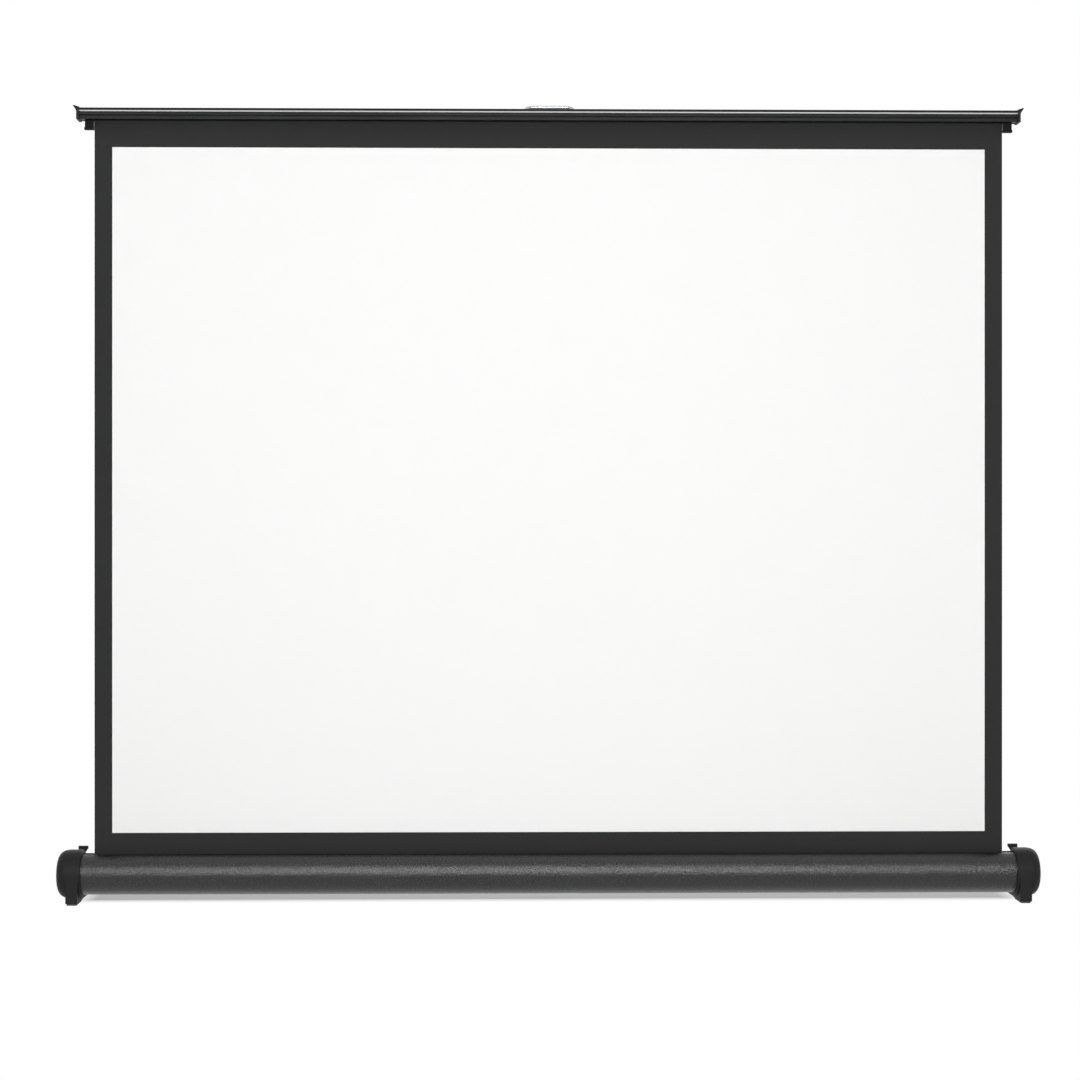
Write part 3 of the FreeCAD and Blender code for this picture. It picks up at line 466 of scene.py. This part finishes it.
@dataclass(frozen=True)
class DrawnMetal(Finish):
    """Metal with lines along its length, from the die, the rolls or a brush."""

    along: Point = (0.01, 1.0, 1.0)
    fineness: float = 2600.0
    shade: Colour = (0.5, 0.5, 0.52)
    bright: Colour = (0.9, 0.9, 0.9)
    band_share: float = 0.5
    line_strength: float = 0.25
    line_depth: float = 0.00004
    line_gloss: float = 0.06
    line_dull: float = 0.08
    mark_scale: float = 14.0
    mark_dull: float = 0.08
    rub_radius: float = 0.0006
    rub_share: float = 0.5

    def dress(self, graph: Graph, shader: bpy.types.Node) -> None:
        """Lines, slow bands and bright edges.

        Args:
            graph: The material's nodes.
            shader: The Principled shader to feed.
        """
        drawn = self.place(graph, self.along)
        lines = SHELF.place(graph, Effect.STREAK, Vector=drawn, Fineness=self.fineness)
        spot = self.place(graph)
        rub = SHELF.place(graph, Effect.RUB, Vector=spot, Radius=self.rub_radius, Amount=self.rub_share)
        marks = SHELF.place(graph, Effect.MARKS, Vector=spot, Scale=self.mark_scale)
        bands = graph.maths("MULTIPLY", lines.outputs["Bands"], self.band_share)
        toned = graph.mix(bands, self.colour, self.shade)
        graph.feed(shader.inputs["Base Color"], graph.mix(rub.outputs["Mask"], toned, self.bright))
        soft = graph.span(lines.outputs["Lines"], 0.0, 1.0,
                          self.roughness - self.line_gloss, self.roughness + self.line_dull)
        patches = graph.maths("MULTIPLY", marks.outputs["Patches"], self.mark_dull)
        graph.feed(shader.inputs["Roughness"], graph.maths("ADD", soft, patches))
        normal = graph.bump(lines.outputs["Lines"], self.line_strength, self.line_depth)
        graph.feed(shader.inputs["Normal"], normal)


@dataclass(frozen=True)
class HighlightPaintedMetal(DrawnMetal):
    """Drawn metal with a painted highlight: a bright metallic strip between two heights on the front
    bead, in place of a lamp's reflection.
    """

    # painted highlight: the heights and front limit of the strip that is painted bright
    highlight_band: tuple[float, float] = (0.9152, 0.9169)
    highlight_fade: float = 0.0003
    highlight_front: float = -0.0458
    front_fade: float = 0.0004
    polish_and_painted_highlight: Colour = (0.66, 0.66, 0.665)

    def dress(self, graph: Graph, shader: bpy.types.Node) -> None:
        """Lines and edges as drawn, then the painted highlight strip.

        Args:
            graph: The material's nodes.
            shader: The Principled shader to feed.
        """
        super().dress(graph, shader)
        parts = graph.add("ShaderNodeSeparateXYZ", {"Vector": self.place(graph)}).outputs
        # painted highlight: the strip gets a bright metallic colour where the lamp's reflection falls
        low, high = self.highlight_band
        above = graph.span(parts["Z"], low, low + self.highlight_fade)
        below = graph.span(parts["Z"], high, high - self.highlight_fade)
        front = graph.span(parts["Y"], self.highlight_front + self.front_fade, self.highlight_front)
        mask = graph.maths("MULTIPLY", graph.maths("MULTIPLY", above, below), front)
        plain = shader.inputs["Base Color"].links[0].from_socket
        graph.feed(shader.inputs["Base Color"], graph.mix(mask, plain, self.polish_and_painted_highlight))
        graph.feed(shader.inputs["Metallic"], mask)


@dataclass(frozen=True)
class PlatedMetal(Finish):
    """Zinc or chrome plate: a soft clouding and a few fine pits."""

    clouded: Colour = (0.5, 0.51, 0.53)
    cloud_scale: float = 120.0
    cloud_share: float = 0.6
    cloud_dull: float = 0.18
    pit_scale: float = 1600.0
    pit_strength: float = 0.08
    pit_depth: float = 0.00005

    def dress(self, graph: Graph, shader: bpy.types.Node) -> None:
        """Clouding in the colour and the gloss.

        Args:
            graph: The material's nodes.
            shader: The Principled shader to feed.
        """
        spot = self.place(graph)
        clouds = SHELF.place(graph, Effect.MARKS, Vector=spot, Scale=self.cloud_scale)
        pits = SHELF.place(graph, Effect.GRAIN, Vector=spot, Scale=self.pit_scale)
        share = graph.maths("MULTIPLY", clouds.outputs["Patches"], self.cloud_share)
        graph.feed(shader.inputs["Base Color"], graph.mix(share, self.colour, self.clouded))
        rough = graph.span(share, 0.0, 1.0, self.roughness, self.roughness + self.cloud_dull)
        graph.feed(shader.inputs["Roughness"], rough)
        normal = graph.bump(pits.outputs["Height"], self.pit_strength, self.pit_depth)
        graph.feed(shader.inputs["Normal"], normal)


@dataclass(frozen=True)
class CoatedCloth(Finish):
    """Coated screen cloth: a fine weave under a matt coat, on the sheet's own map."""

    second: Colour = (0.05, 0.05, 0.05)
    second_share: float = 0.2
    pitch: float = 0.0006
    weave_strength: float = 0.3
    weave_depth: float = 0.00006
    coat_scale: float = 700.0
    coat_gloss: float = 0.08
    coat_dull: float = 0.04
    mark_scale: float = 4.0
    sheen: float = 0.0

    def dress(self, graph: Graph, shader: bpy.types.Node) -> None:
        """Weave, a fine uneven coat and slow patches.

        Args:
            graph: The material's nodes.
            shader: The Principled shader to feed.
        """
        spot = graph.add("ShaderNodeUVMap", uv_map="cloth").outputs["UV"]
        weave = SHELF.place(graph, Effect.WEAVE, Vector=spot, Pitch=self.pitch)
        coat = SHELF.place(graph, Effect.GRAIN, Vector=spot, Scale=self.coat_scale)
        marks = SHELF.place(graph, Effect.MARKS, Vector=spot, Scale=self.mark_scale)
        uneven = graph.maths("MULTIPLY", marks.outputs["Patches"], coat.outputs["Height"])
        share = graph.maths("MULTIPLY", uneven, self.second_share)
        graph.feed(shader.inputs["Base Color"], graph.mix(share, self.colour, self.second))
        rough = graph.span(coat.outputs["Height"], 0.0, 1.0,
                           self.roughness - self.coat_gloss, self.roughness + self.coat_dull)
        graph.feed(shader.inputs["Roughness"], rough)
        graph.feed(shader.inputs["Sheen Weight"], self.sheen)
        normal = graph.bump(weave.outputs["Height"], self.weave_strength, self.weave_depth)
        graph.feed(shader.inputs["Normal"], normal)


class Finishes:
    """Every finish of the object, each made into a material once."""

    SPECKLED = SpeckledCoat("speckled_black_coat", (0.0045, 0.0045, 0.0047), 0.17,
                            specular=0.52)
    MOULDED = MouldedPlastic("moulded_black_plastic", (0.0095, 0.0095, 0.0099), 0.5, specular=0.17,
                             worn=(0.024, 0.024, 0.025))
    NYLON = MouldedPlastic("natural_nylon", (0.72, 0.71, 0.66), 0.42, worn=(0.82, 0.81, 0.76))
    # the plugs' own black plastic, written darker than the caps' as painted shade from the bar above
    # them
    PLUG_WITH_PAINTED_SHADE = MouldedPlastic("black_plug_painted_shade", (0.005, 0.005, 0.0052), 0.6, specular=0.1,
                          worn=(0.012, 0.012, 0.0125))
    RUBBER = MouldedPlastic("pad_rubber", (0.06, 0.06, 0.062), 0.78, worn=(0.13, 0.13, 0.13),
                            grain_scale=700.0)
    # the bar's black anodised finish, with a painted highlight strip along its front bead
    ANODISED = HighlightPaintedMetal("black_anodised_bar", (0.009, 0.009, 0.0094), 0.42, specular=0.13,
                            shade=(0.014, 0.014, 0.0145), bright=(0.05, 0.05, 0.051))
    ALUMINIUM = DrawnMetal("satin_aluminium", (0.46, 0.465, 0.475), 0.34, 1.0,
                           along=(1.0, 1.0, 0.012), shade=(0.34, 0.345, 0.355),
                           bright=(0.62, 0.62, 0.63))
    ROLLER = DrawnMetal("roller_aluminium", (0.7, 0.7, 0.71), 0.36, 1.0, shade=(0.58, 0.58, 0.6))
    ZINC = PlatedMetal("zinc_plated_sheet", (0.42, 0.43, 0.45), 0.3, 1.0, clouded=(0.3, 0.31, 0.33))
    PIN = PlatedMetal("zinc_plated_pins", (0.38, 0.39, 0.41), 0.26, 1.0, clouded=(0.26, 0.27, 0.29))
    CHROME = PlatedMetal("bright_chrome_wire", (0.5, 0.505, 0.515), 0.12, 1.0,
                         clouded=(0.42, 0.43, 0.44), cloud_share=0.3)
    SPRING = PlatedMetal("oiled_spring_steel", (0.24, 0.235, 0.23), 0.3, 1.0,
                         clouded=(0.13, 0.12, 0.11))
    FACE = CoatedCloth("matt_white_face", (0.93, 0.93, 0.925), 0.9, specular=0.25,
                       second=(0.9, 0.9, 0.9))
    BORDER = CoatedCloth("printed_black_border", (0.0195, 0.0195, 0.02), 0.75, specular=0.2,
                         second=(0.028, 0.028, 0.0285), second_share=0.5)
    BACK = CoatedCloth("black_backing", (0.018, 0.018, 0.019), 0.8, specular=0.2,
                       second=(0.03, 0.03, 0.031), second_share=0.6, pitch=0.0009,
                       weave_depth=0.00012, sheen=0.1)

    BY_SLOT: dict[str, Finish] = {
        "tube_paint": SPECKLED, "cap_plastic": MOULDED, "inner_plastic": NYLON, "pad_rubber": RUBBER,
        "bar_anodised": ANODISED, "fabric": BACK, "arm_aluminium": ALUMINIUM, "bracket_steel": ZINC,
        "chrome_wire": CHROME, "pin_steel": PIN, "spring_steel": SPRING,
    }
    BY_NODE: dict[str, Finish] = {"roller_tube": ROLLER, "bar_plug_left": PLUG_WITH_PAINTED_SHADE, "bar_plug_right": PLUG_WITH_PAINTED_SHADE}

    def __init__(self) -> None:
        """Start with no material made."""
        self.made: dict[str, bpy.types.Material] = {}

    def material(self, finish: Finish) -> bpy.types.Material:
        """The material of a finish, made at its first use.

        Args:
            finish: The finish.

        Returns:
            Its material.
        """
        if finish.name not in self.made:
            self.made[finish.name] = finish.make()
        return self.made[finish.name]

    def dress_frame(self, frame: dict) -> None:
        """Give each node of the frame the finish of its slot.

        Args:
            frame: The loaded frame.
        """
        for part in frame["record"]["subparts"]:
            node = part["node"]
            finish = self.BY_NODE.get(node, self.BY_SLOT[part["material_slot"]])
            for slot in frame["nodes"][node].material_slots:
                slot.material = self.material(finish)
            LOG.info("%s: %s", node, finish.name)


class Workshop:
    """Turns finished bmeshes into pieces of the object."""

    def __init__(self, finishes: Finishes) -> None:
        """Keep the finishes that pieces are dressed in."""
        self.finishes = finishes

    def piece(self, name: str, mesh: bmesh.types.BMesh, dressing: list[Finish]) -> bpy.types.Object:
        """Make an object of a bmesh, in place and smooth, with sharp open edges.

        Args:
            name: The piece's name.
            mesh: The finished bmesh, which is freed.
            dressing: The finishes of its material slots, in order.

        Returns:
            The new object.
        """
        for face in mesh.faces:
            face.smooth = True
        for edge in mesh.edges:
            edge.smooth = not edge.is_boundary
        data = bpy.data.meshes.new(name)
        mesh.to_mesh(data)
        mesh.free()
        for finish in dressing:
            data.materials.append(self.finishes.material(finish))
        piece = bpy.data.objects.new(name, data)
        bpy.context.scene.collection.objects.link(piece)
        LOG.info("%s: %d faces", name, len(data.polygons))
        return piece

    def thicken(self, piece: bpy.types.Object, thickness: float, to_back: int = 0) -> None:
        """Give a sheet its thickness, half to each side.

        Args:
            piece: The sheet.
            thickness: How thick it gets.
            to_back: How many slots lie from a front's finish to its back's.
        """
        wall = piece.modifiers.new("cloth_thickness", "SOLIDIFY")
        wall.thickness = thickness
        wall.offset = 0.0
        wall.material_offset = to_back

    def draw_out(self, mesh: bmesh.types.BMesh, grown: list[object], step: Point) -> None:
        """Move the vertices that an extrusion has just made.

        Args:
            mesh: The bmesh.
            grown: What the extrusion made.
            step: How far they go.
        """
        moved = [v for v in grown if isinstance(v, bmesh.types.BMVert)]
        bmesh.ops.translate(mesh, verts=moved, vec=step)


class ClothSlot(IntEnum):
    """The material slots of the screen's cloth, where the backs follow the fronts."""

    FACE = 0
    BORDER = 1
    BACK = 2


@dataclass
class ScreenSheet:
    """The screen's cloth, from the roller up to its hem round the rod in the bar.

    Its top border and hem move with the bar. The rest stays on the casing, in place of the winding.
    """

    half_width: float = 0.5285
    plane_y: float = -0.034
    foot_z: float = 0.033
    white_half: float = 0.508
    white_foot: float = 0.080
    white_top: float = 0.876
    rod_z: float = 0.9125
    hem_radius: float = 0.0024
    hem_turn: float = math.radians(350)
    hem_steps: int = 28
    tail_z: float = 0.899
    tail_step: float = 0.00045
    thickness: float = 0.0004
    spacing: float = 0.04
    cut_merge: float = 1e-6
    ripple: float = 0.0005
    ripple_waves: float = 3.0
    sink_z: float = 0.029
    sunk_share: float = 0.0025
    moved_by: str = "support_fold"

    def build(self, workshop: Workshop) -> bpy.types.Object:
        """Model the cloth, dress it and hang it on the frame.

        Args:
            workshop: Where the piece is made.

        Returns:
            The cloth.
        """
        mesh = bmesh.new()
        length = self.draw_profile(mesh)
        self.widen(workshop, mesh)
        self.cut(mesh)
        self.map_flat(mesh)
        self.slacken(mesh)
        border = mesh.copy()
        self.trim(mesh, above=True)
        self.trim(border, above=False)
        cloth = self.sew(workshop, "screen_cloth", mesh, "casing")
        hem = self.sew(workshop, "screen_hem", border, "top_bar")
        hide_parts("screen_fabric")
        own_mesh(cloth)
        return cloth

    def trim(self, mesh: bmesh.types.BMesh, above: bool) -> None:
        """Take away the cloth on one side of the white area's top edge.

        Args:
            mesh: The bmesh with the whole sheet.
            above: Whether the upper side goes, or else the lower.
        """
        gone = [f for f in mesh.faces if (f.calc_center_median().z > self.white_top) == above]
        bmesh.ops.delete(mesh, geom=gone, context="FACES")

    def sew(self, workshop: Workshop, name: str, mesh: bmesh.types.BMesh,
            body: str) -> bpy.types.Object:
        """Make one piece of the cloth, with its thickness, and set it on its body.

        Args:
            workshop: Where the piece is made.
            name: The piece's name.
            mesh: The bmesh with this part of the sheet.
            body: The body that it moves with.

        Returns:
            The piece.
        """
        dressing = [Finishes.FACE, Finishes.BORDER, Finishes.BACK, Finishes.BACK]
        piece = workshop.piece(name, mesh, dressing)
        workshop.thicken(piece, self.thickness, to_back=ClothSlot.BACK)
        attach(piece, body)
        return piece

    def draw_profile(self, mesh: bmesh.types.BMesh) -> float:
        """Draw the cloth's left edge: up to the rod, round it and down in a welded tail.

        Args:
            mesh: The empty bmesh, which gets the line and each point's run along it.

        Returns:
            The line's length.
        """
        run = mesh.verts.layers.float.new("run")
        neck_z = self.rod_z - self.hem_radius
        foot = mesh.verts.new((-self.half_width, self.plane_y, self.foot_z))
        neck = bmesh.ops.extrude_vert_indiv(mesh, verts=[foot])["verts"][0]
        neck.co.z = neck_z
        hem = bmesh.ops.spin(mesh, geom=[neck], cent=(0, self.plane_y, self.rod_z), axis=(1, 0, 0),
                             angle=-self.hem_turn, steps=self.hem_steps)
        last = next(v for v in hem["geom_last"] if isinstance(v, bmesh.types.BMVert))
        end = bmesh.ops.extrude_vert_indiv(mesh, verts=[last])["verts"][0]
        end.co = (-self.half_width, self.plane_y + self.tail_step, self.tail_z)
        length, spot, edge = 0.0, foot, foot.link_edges[0]
        while edge is not None:
            length += edge.calc_length()
            spot = edge.other_vert(spot)
            spot[run] = length
            edge = next((e for e in spot.link_edges if e is not edge), None)
        return length

    def widen(self, workshop: Workshop, mesh: bmesh.types.BMesh) -> None:
        """Sweep the profile across the screen, with the front facing the viewer.

        Args:
            workshop: Where the piece is made.
            mesh: The bmesh with the profile.
        """
        swept = bmesh.ops.extrude_edge_only(mesh, edges=mesh.edges[:])["geom"]
        workshop.draw_out(mesh, swept, (2 * self.half_width, 0, 0))
        mesh.normal_update()
        largest = max(mesh.faces, key=lambda f: f.calc_area())
        if largest.normal.y > 0:
            bmesh.ops.reverse_faces(mesh, faces=mesh.faces[:])

    def cut(self, mesh: bmesh.types.BMesh) -> None:
        """Cut the sheet along the white area's edges and into even panels.

        Args:
            mesh: The bmesh with the sheet.
        """
        columns = int(self.white_half / self.spacing)
        across = {-self.white_half, self.white_half}
        across |= {k * self.white_half / columns for k in range(1 - columns, columns)}
        rows = int((self.white_top - self.white_foot) / self.spacing)
        up = {self.white_foot + k * (self.white_top - self.white_foot) / rows for k in range(rows + 1)}
        planes = [((x, 0, 0), (1, 0, 0)) for x in sorted(across)]
        planes += [((0, 0, z), (0, 0, 1)) for z in sorted(up)]
        for spot, facing in planes:
            geometry = mesh.verts[:] + mesh.edges[:] + mesh.faces[:]
            bmesh.ops.bisect_plane(mesh, geom=geometry, dist=self.cut_merge, plane_co=spot,
                                   plane_no=facing)
        for face in mesh.faces:
            middle = face.calc_center_median()
            white = abs(middle.x) < self.white_half and self.white_foot < middle.z < self.white_top
            face.material_index = ClothSlot.FACE if white else ClothSlot.BORDER

    def map_flat(self, mesh: bmesh.types.BMesh) -> None:
        """Lay the cloth's own map out flat, in metres.

        Args:
            mesh: The bmesh with the sheet.
        """
        run = mesh.verts.layers.float["run"]
        flat = mesh.loops.layers.uv.new("cloth")
        for face in mesh.faces:
            for loop in face.loops:
                loop[flat].uv = (loop.vert.co.x, loop.vert[run])
        mesh.verts.layers.float.remove(run)

    def slacken(self, mesh: bmesh.types.BMesh) -> None:
        """Give the hanging part a slight, slow ripple.

        Args:
            mesh: The bmesh with the sheet.
        """
        height = self.white_top - self.white_foot
        for vert in mesh.verts:
            share = (vert.co.z - self.white_foot) / height
            if 0 < share < 1:
                wave = math.cos(self.ripple_waves * math.pi * vert.co.x / self.half_width + share)
                vert.co.y += self.ripple * wave * math.sin(math.pi * share)


@dataclass
class WoundLeader:
    """The turn of cloth that stays on the roller when the screen is up."""

    axis_y: float = -0.0433
    axis_z: float = 0.033
    first_radius: float = 0.00821
    last_radius: float = 0.00857
    thickness: float = 0.00036
    turns: float = 1.0
    steps: int = 72
    body: str = "roller"

    def build(self, workshop: Workshop) -> bpy.types.Object:
        """Wind the leader and set it on the roller.

        Args:
            workshop: Where the piece is made.

        Returns:
            The leader.
        """
        low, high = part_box("leader_wrap")
        mesh = bmesh.new()
        flat = mesh.loops.layers.uv.new("cloth")
        centre = Vector((low.x, self.axis_y, self.axis_z))
        spot = mesh.verts.new(centre + Vector((0, 0, self.first_radius)))
        turn = Matrix.Rotation(self.turns * math.tau / self.steps, 3, "X")
        growth = (self.last_radius / self.first_radius) ** (1 / self.steps)
        for _ in range(self.steps):
            spot = bmesh.ops.extrude_vert_indiv(mesh, verts=[spot])["verts"][0]
            spot.co = centre + turn @ (spot.co - centre) * growth
        swept = bmesh.ops.extrude_edge_only(mesh, edges=mesh.edges[:])["geom"]
        workshop.draw_out(mesh, swept, (high.x - low.x, 0, 0))
        middle_radius = (self.first_radius + self.last_radius) / 2
        for face in mesh.faces:
            for loop in face.loops:
                away = loop.vert.co - centre
                loop[flat].uv = (loop.vert.co.x, middle_radius * math.atan2(away.y, away.z))
        leader = workshop.piece("wound_leader", mesh, [Finishes.BACK])
        workshop.thicken(leader, self.thickness)
        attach(leader, self.body)
        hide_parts("leader_wrap")
        return leader


@dataclass
class TabGusset:
    """The sloped web that carries the lip of one cap's tab."""

    side: int
    lip_end: float = 0.5384
    stem: float = 0.5424
    lip_z: float = 0.0601
    foot_z: float = 0.0561
    foot_end: float = 0.5409
    front: float = -0.0233
    depth: float = 0.0036
    rounding: float = 0.0003
    body: str = "casing"

    def build(self, workshop: Workshop) -> bpy.types.Object:
        """Draw the web's outline, give it its depth and set it on the cap.

        Args:
            workshop: Where the piece is made.

        Returns:
            The gusset.
        """
        mesh = bmesh.new()
        outline = ((self.lip_end, self.lip_z), (self.foot_end, self.foot_z), (self.stem, self.foot_z),
                   (self.stem, self.lip_z))
        corners = [mesh.verts.new((self.side * x, self.front, z)) for x, z in outline]
        face = bmesh.ops.contextual_create(mesh, geom=corners)["faces"][0]
        grown = bmesh.ops.extrude_face_region(mesh, geom=[face])["geom"]
        workshop.draw_out(mesh, grown, (0, self.depth, 0))
        bmesh.ops.recalc_face_normals(mesh, faces=mesh.faces[:])
        bmesh.ops.bevel(mesh, geom=mesh.edges[:], offset=self.rounding, segments=2, affect="EDGES",
                        profile=0.5, material=-1)
        name = "tab_gusset_left" if self.side < 0 else "tab_gusset_right"
        gusset = workshop.piece(name, mesh, [Finishes.MOULDED])
        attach(gusset, self.body)
        return gusset


class Lamp(Enum):
    """The studio's soft lamps: where each stands, its width and height, and its power."""

    KEY = ((-0.05, -2.75, 1.15), (2.1, 0.26), 51.0)
    TOP = ((0.1, -0.3, 2.6), (2.0, 1.2), 2.5)
    REAR = ((0.5, 2.6, 1.3), (3.0, 0.8), 20.0)


@dataclass
class Studio:
    """Pale floor, soft lamps, white surround and the camera."""

    aim: Point = (-0.0115, -0.034, 0.42)
    distance: float = 2.74
    azimuth: float = math.radians(-1.03)
    lens: float = 78.43
    sensor: float = 36.0
    floor_size: float = 7.0
    floor_drop: float = 0.0002
    shade_half: Point = (0.53, 0.03, 1.0)
    shade_middle: Point = (0.0, 0.015, 0.0)
    shade_fade: float = 0.025
    floor_colour: Colour = (0.9, 0.9, 0.9)
    floor_roughness: float = 0.7
    floor_specular: float = 0.2
    surround: float = 0.25
    floor_haze: float = 0.22

    def build(self) -> None:
        """Set up the floor, the light and the camera."""
        self.lay_floor()
        self.light_world()
        for lamp in Lamp:
            self.hang(lamp)
        self.set_camera()
        bpy.context.scene.view_settings.view_transform = "Standard"

    def seen(self, graph: Graph) -> Socket:
        """Where a ray shows the background: to the camera, in gloss or through glass.

        Args:
            graph: The nodes to add it to.

        Returns:
            1 on such rays and 0 on others.
        """
        path = graph.add("ShaderNodeLightPath")
        found = graph.maths("MAXIMUM", path.outputs["Is Camera Ray"], path.outputs["Is Glossy Ray"])
        return graph.maths("MAXIMUM", found, path.outputs["Is Transmission Ray"])

    def lay_floor(self) -> None:
        """A pale floor that keeps the shadow and turns plain white further off."""
        mesh = bmesh.new()
        bmesh.ops.create_grid(mesh, x_segments=1, y_segments=1, size=self.floor_size)
        bmesh.ops.translate(mesh, verts=mesh.verts[:], vec=(0, 0, -self.floor_drop))
        data = bpy.data.meshes.new("floor")
        mesh.to_mesh(data)
        mesh.free()
        floor = bpy.data.objects.new("floor", data)
        bpy.context.scene.collection.objects.link(floor)
        material = bpy.data.materials.new("pale_floor")
        material.use_nodes = True
        material.node_tree.nodes.clear()
        graph = Graph(material.node_tree)
        spot = graph.add("ShaderNodeTexCoord").outputs["Object"]
        moved = graph.add("ShaderNodeVectorMath", {0: spot, 1: self.shade_middle}, operation="SUBTRACT")
        folded = graph.add("ShaderNodeVectorMath", {0: moved.outputs["Vector"]}, operation="ABSOLUTE")
        beyond = graph.add("ShaderNodeVectorMath", {0: folded.outputs["Vector"], 1: self.shade_half},
                           operation="SUBTRACT")
        outside = graph.add("ShaderNodeVectorMath", {0: beyond.outputs["Vector"], 1: (0.0, 0.0, 0.0)},
                            operation="MAXIMUM")
        away = graph.add("ShaderNodeVectorMath", {0: outside.outputs["Vector"]}, operation="LENGTH")
        near = graph.add("ShaderNodeBsdfPrincipled", {"Base Color": self.floor_colour,
                                                      "Roughness": self.floor_roughness,
                                                      "Specular IOR Level": self.floor_specular})
        plain = graph.add("ShaderNodeEmission", {"Color": (1.0, 1.0, 1.0), "Strength": 1.0})
        hazy = graph.span(away.outputs["Value"], 0.0, self.shade_fade, self.floor_haze, 1.0)
        share = graph.maths("MULTIPLY", self.seen(graph), hazy)
        both = graph.add("ShaderNodeMixShader", {0: share, 1: near.outputs["BSDF"],
                                                 2: plain.outputs["Emission"]})
        output = graph.add("ShaderNodeOutputMaterial")
        graph.feed(output.inputs["Surface"], both.outputs["Shader"])
        data.materials.append(material)

    def light_world(self) -> None:
        """A white surround to look at, with a lower even light on the object."""
        world = bpy.data.worlds.new("studio")
        bpy.context.scene.world = world
        world.use_nodes = True
        world.node_tree.nodes.clear()
        graph = Graph(world.node_tree)
        even = graph.add("ShaderNodeBackground", {"Color": (1.0, 1.0, 1.0), "Strength": self.surround})
        white = graph.add("ShaderNodeBackground", {"Color": (1.0, 1.0, 1.0), "Strength": 1.0})
        both = graph.add("ShaderNodeMixShader", {0: self.seen(graph), 1: even.outputs["Background"],
                                                 2: white.outputs["Background"]})
        output = graph.add("ShaderNodeOutputWorld")
        graph.feed(output.inputs["Surface"], both.outputs["Shader"])

    def hang(self, lamp: Lamp) -> None:
        """Hang one lamp, turned to the object's middle.

        Args:
            lamp: Which lamp.
        """
        spot, size, power = lamp.value
        data = bpy.data.lights.new(lamp.name.lower(), "AREA")
        data.shape = "RECTANGLE"
        data.size, data.size_y = size
        data.energy = power
        light = bpy.data.objects.new(lamp.name.lower(), data)
        light.location = spot
        light.rotation_euler = (Vector(self.aim) - Vector(spot)).to_track_quat("-Z", "Y").to_euler()
        bpy.context.scene.collection.objects.link(light)

    def set_camera(self) -> None:
        """Stand the camera at the viewer's place, level and a little to the left."""
        data = bpy.data.cameras.new("camera")
        data.sensor_width = self.sensor
        data.lens = self.lens
        camera = bpy.data.objects.new("camera", data)
        aim = Vector(self.aim)
        away = Vector((math.sin(self.azimuth), -math.cos(self.azimuth), 0.0)) * self.distance
        camera.location = aim + away
        camera.rotation_euler = (-away).to_track_quat("-Z", "Y").to_euler()
        bpy.context.scene.collection.objects.link(camera)
        bpy.context.scene.camera = camera


def main() -> None:
    """Load the frame, dress it, add the cloth and set up the studio."""
    logging.basicConfig(level=logging.INFO, format="%(name)s %(message)s")
    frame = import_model()
    finishes = Finishes()
    finishes.dress_frame(frame)
    workshop = Workshop(finishes)
    for part in (ScreenSheet(), WoundLeader(), TabGusset(-1), TabGusset(1)):
        piece = part.build(workshop)
        LOG.info("%s is in place", piece.name)
    Studio().build()


if __name__ == "__main__":
    main()
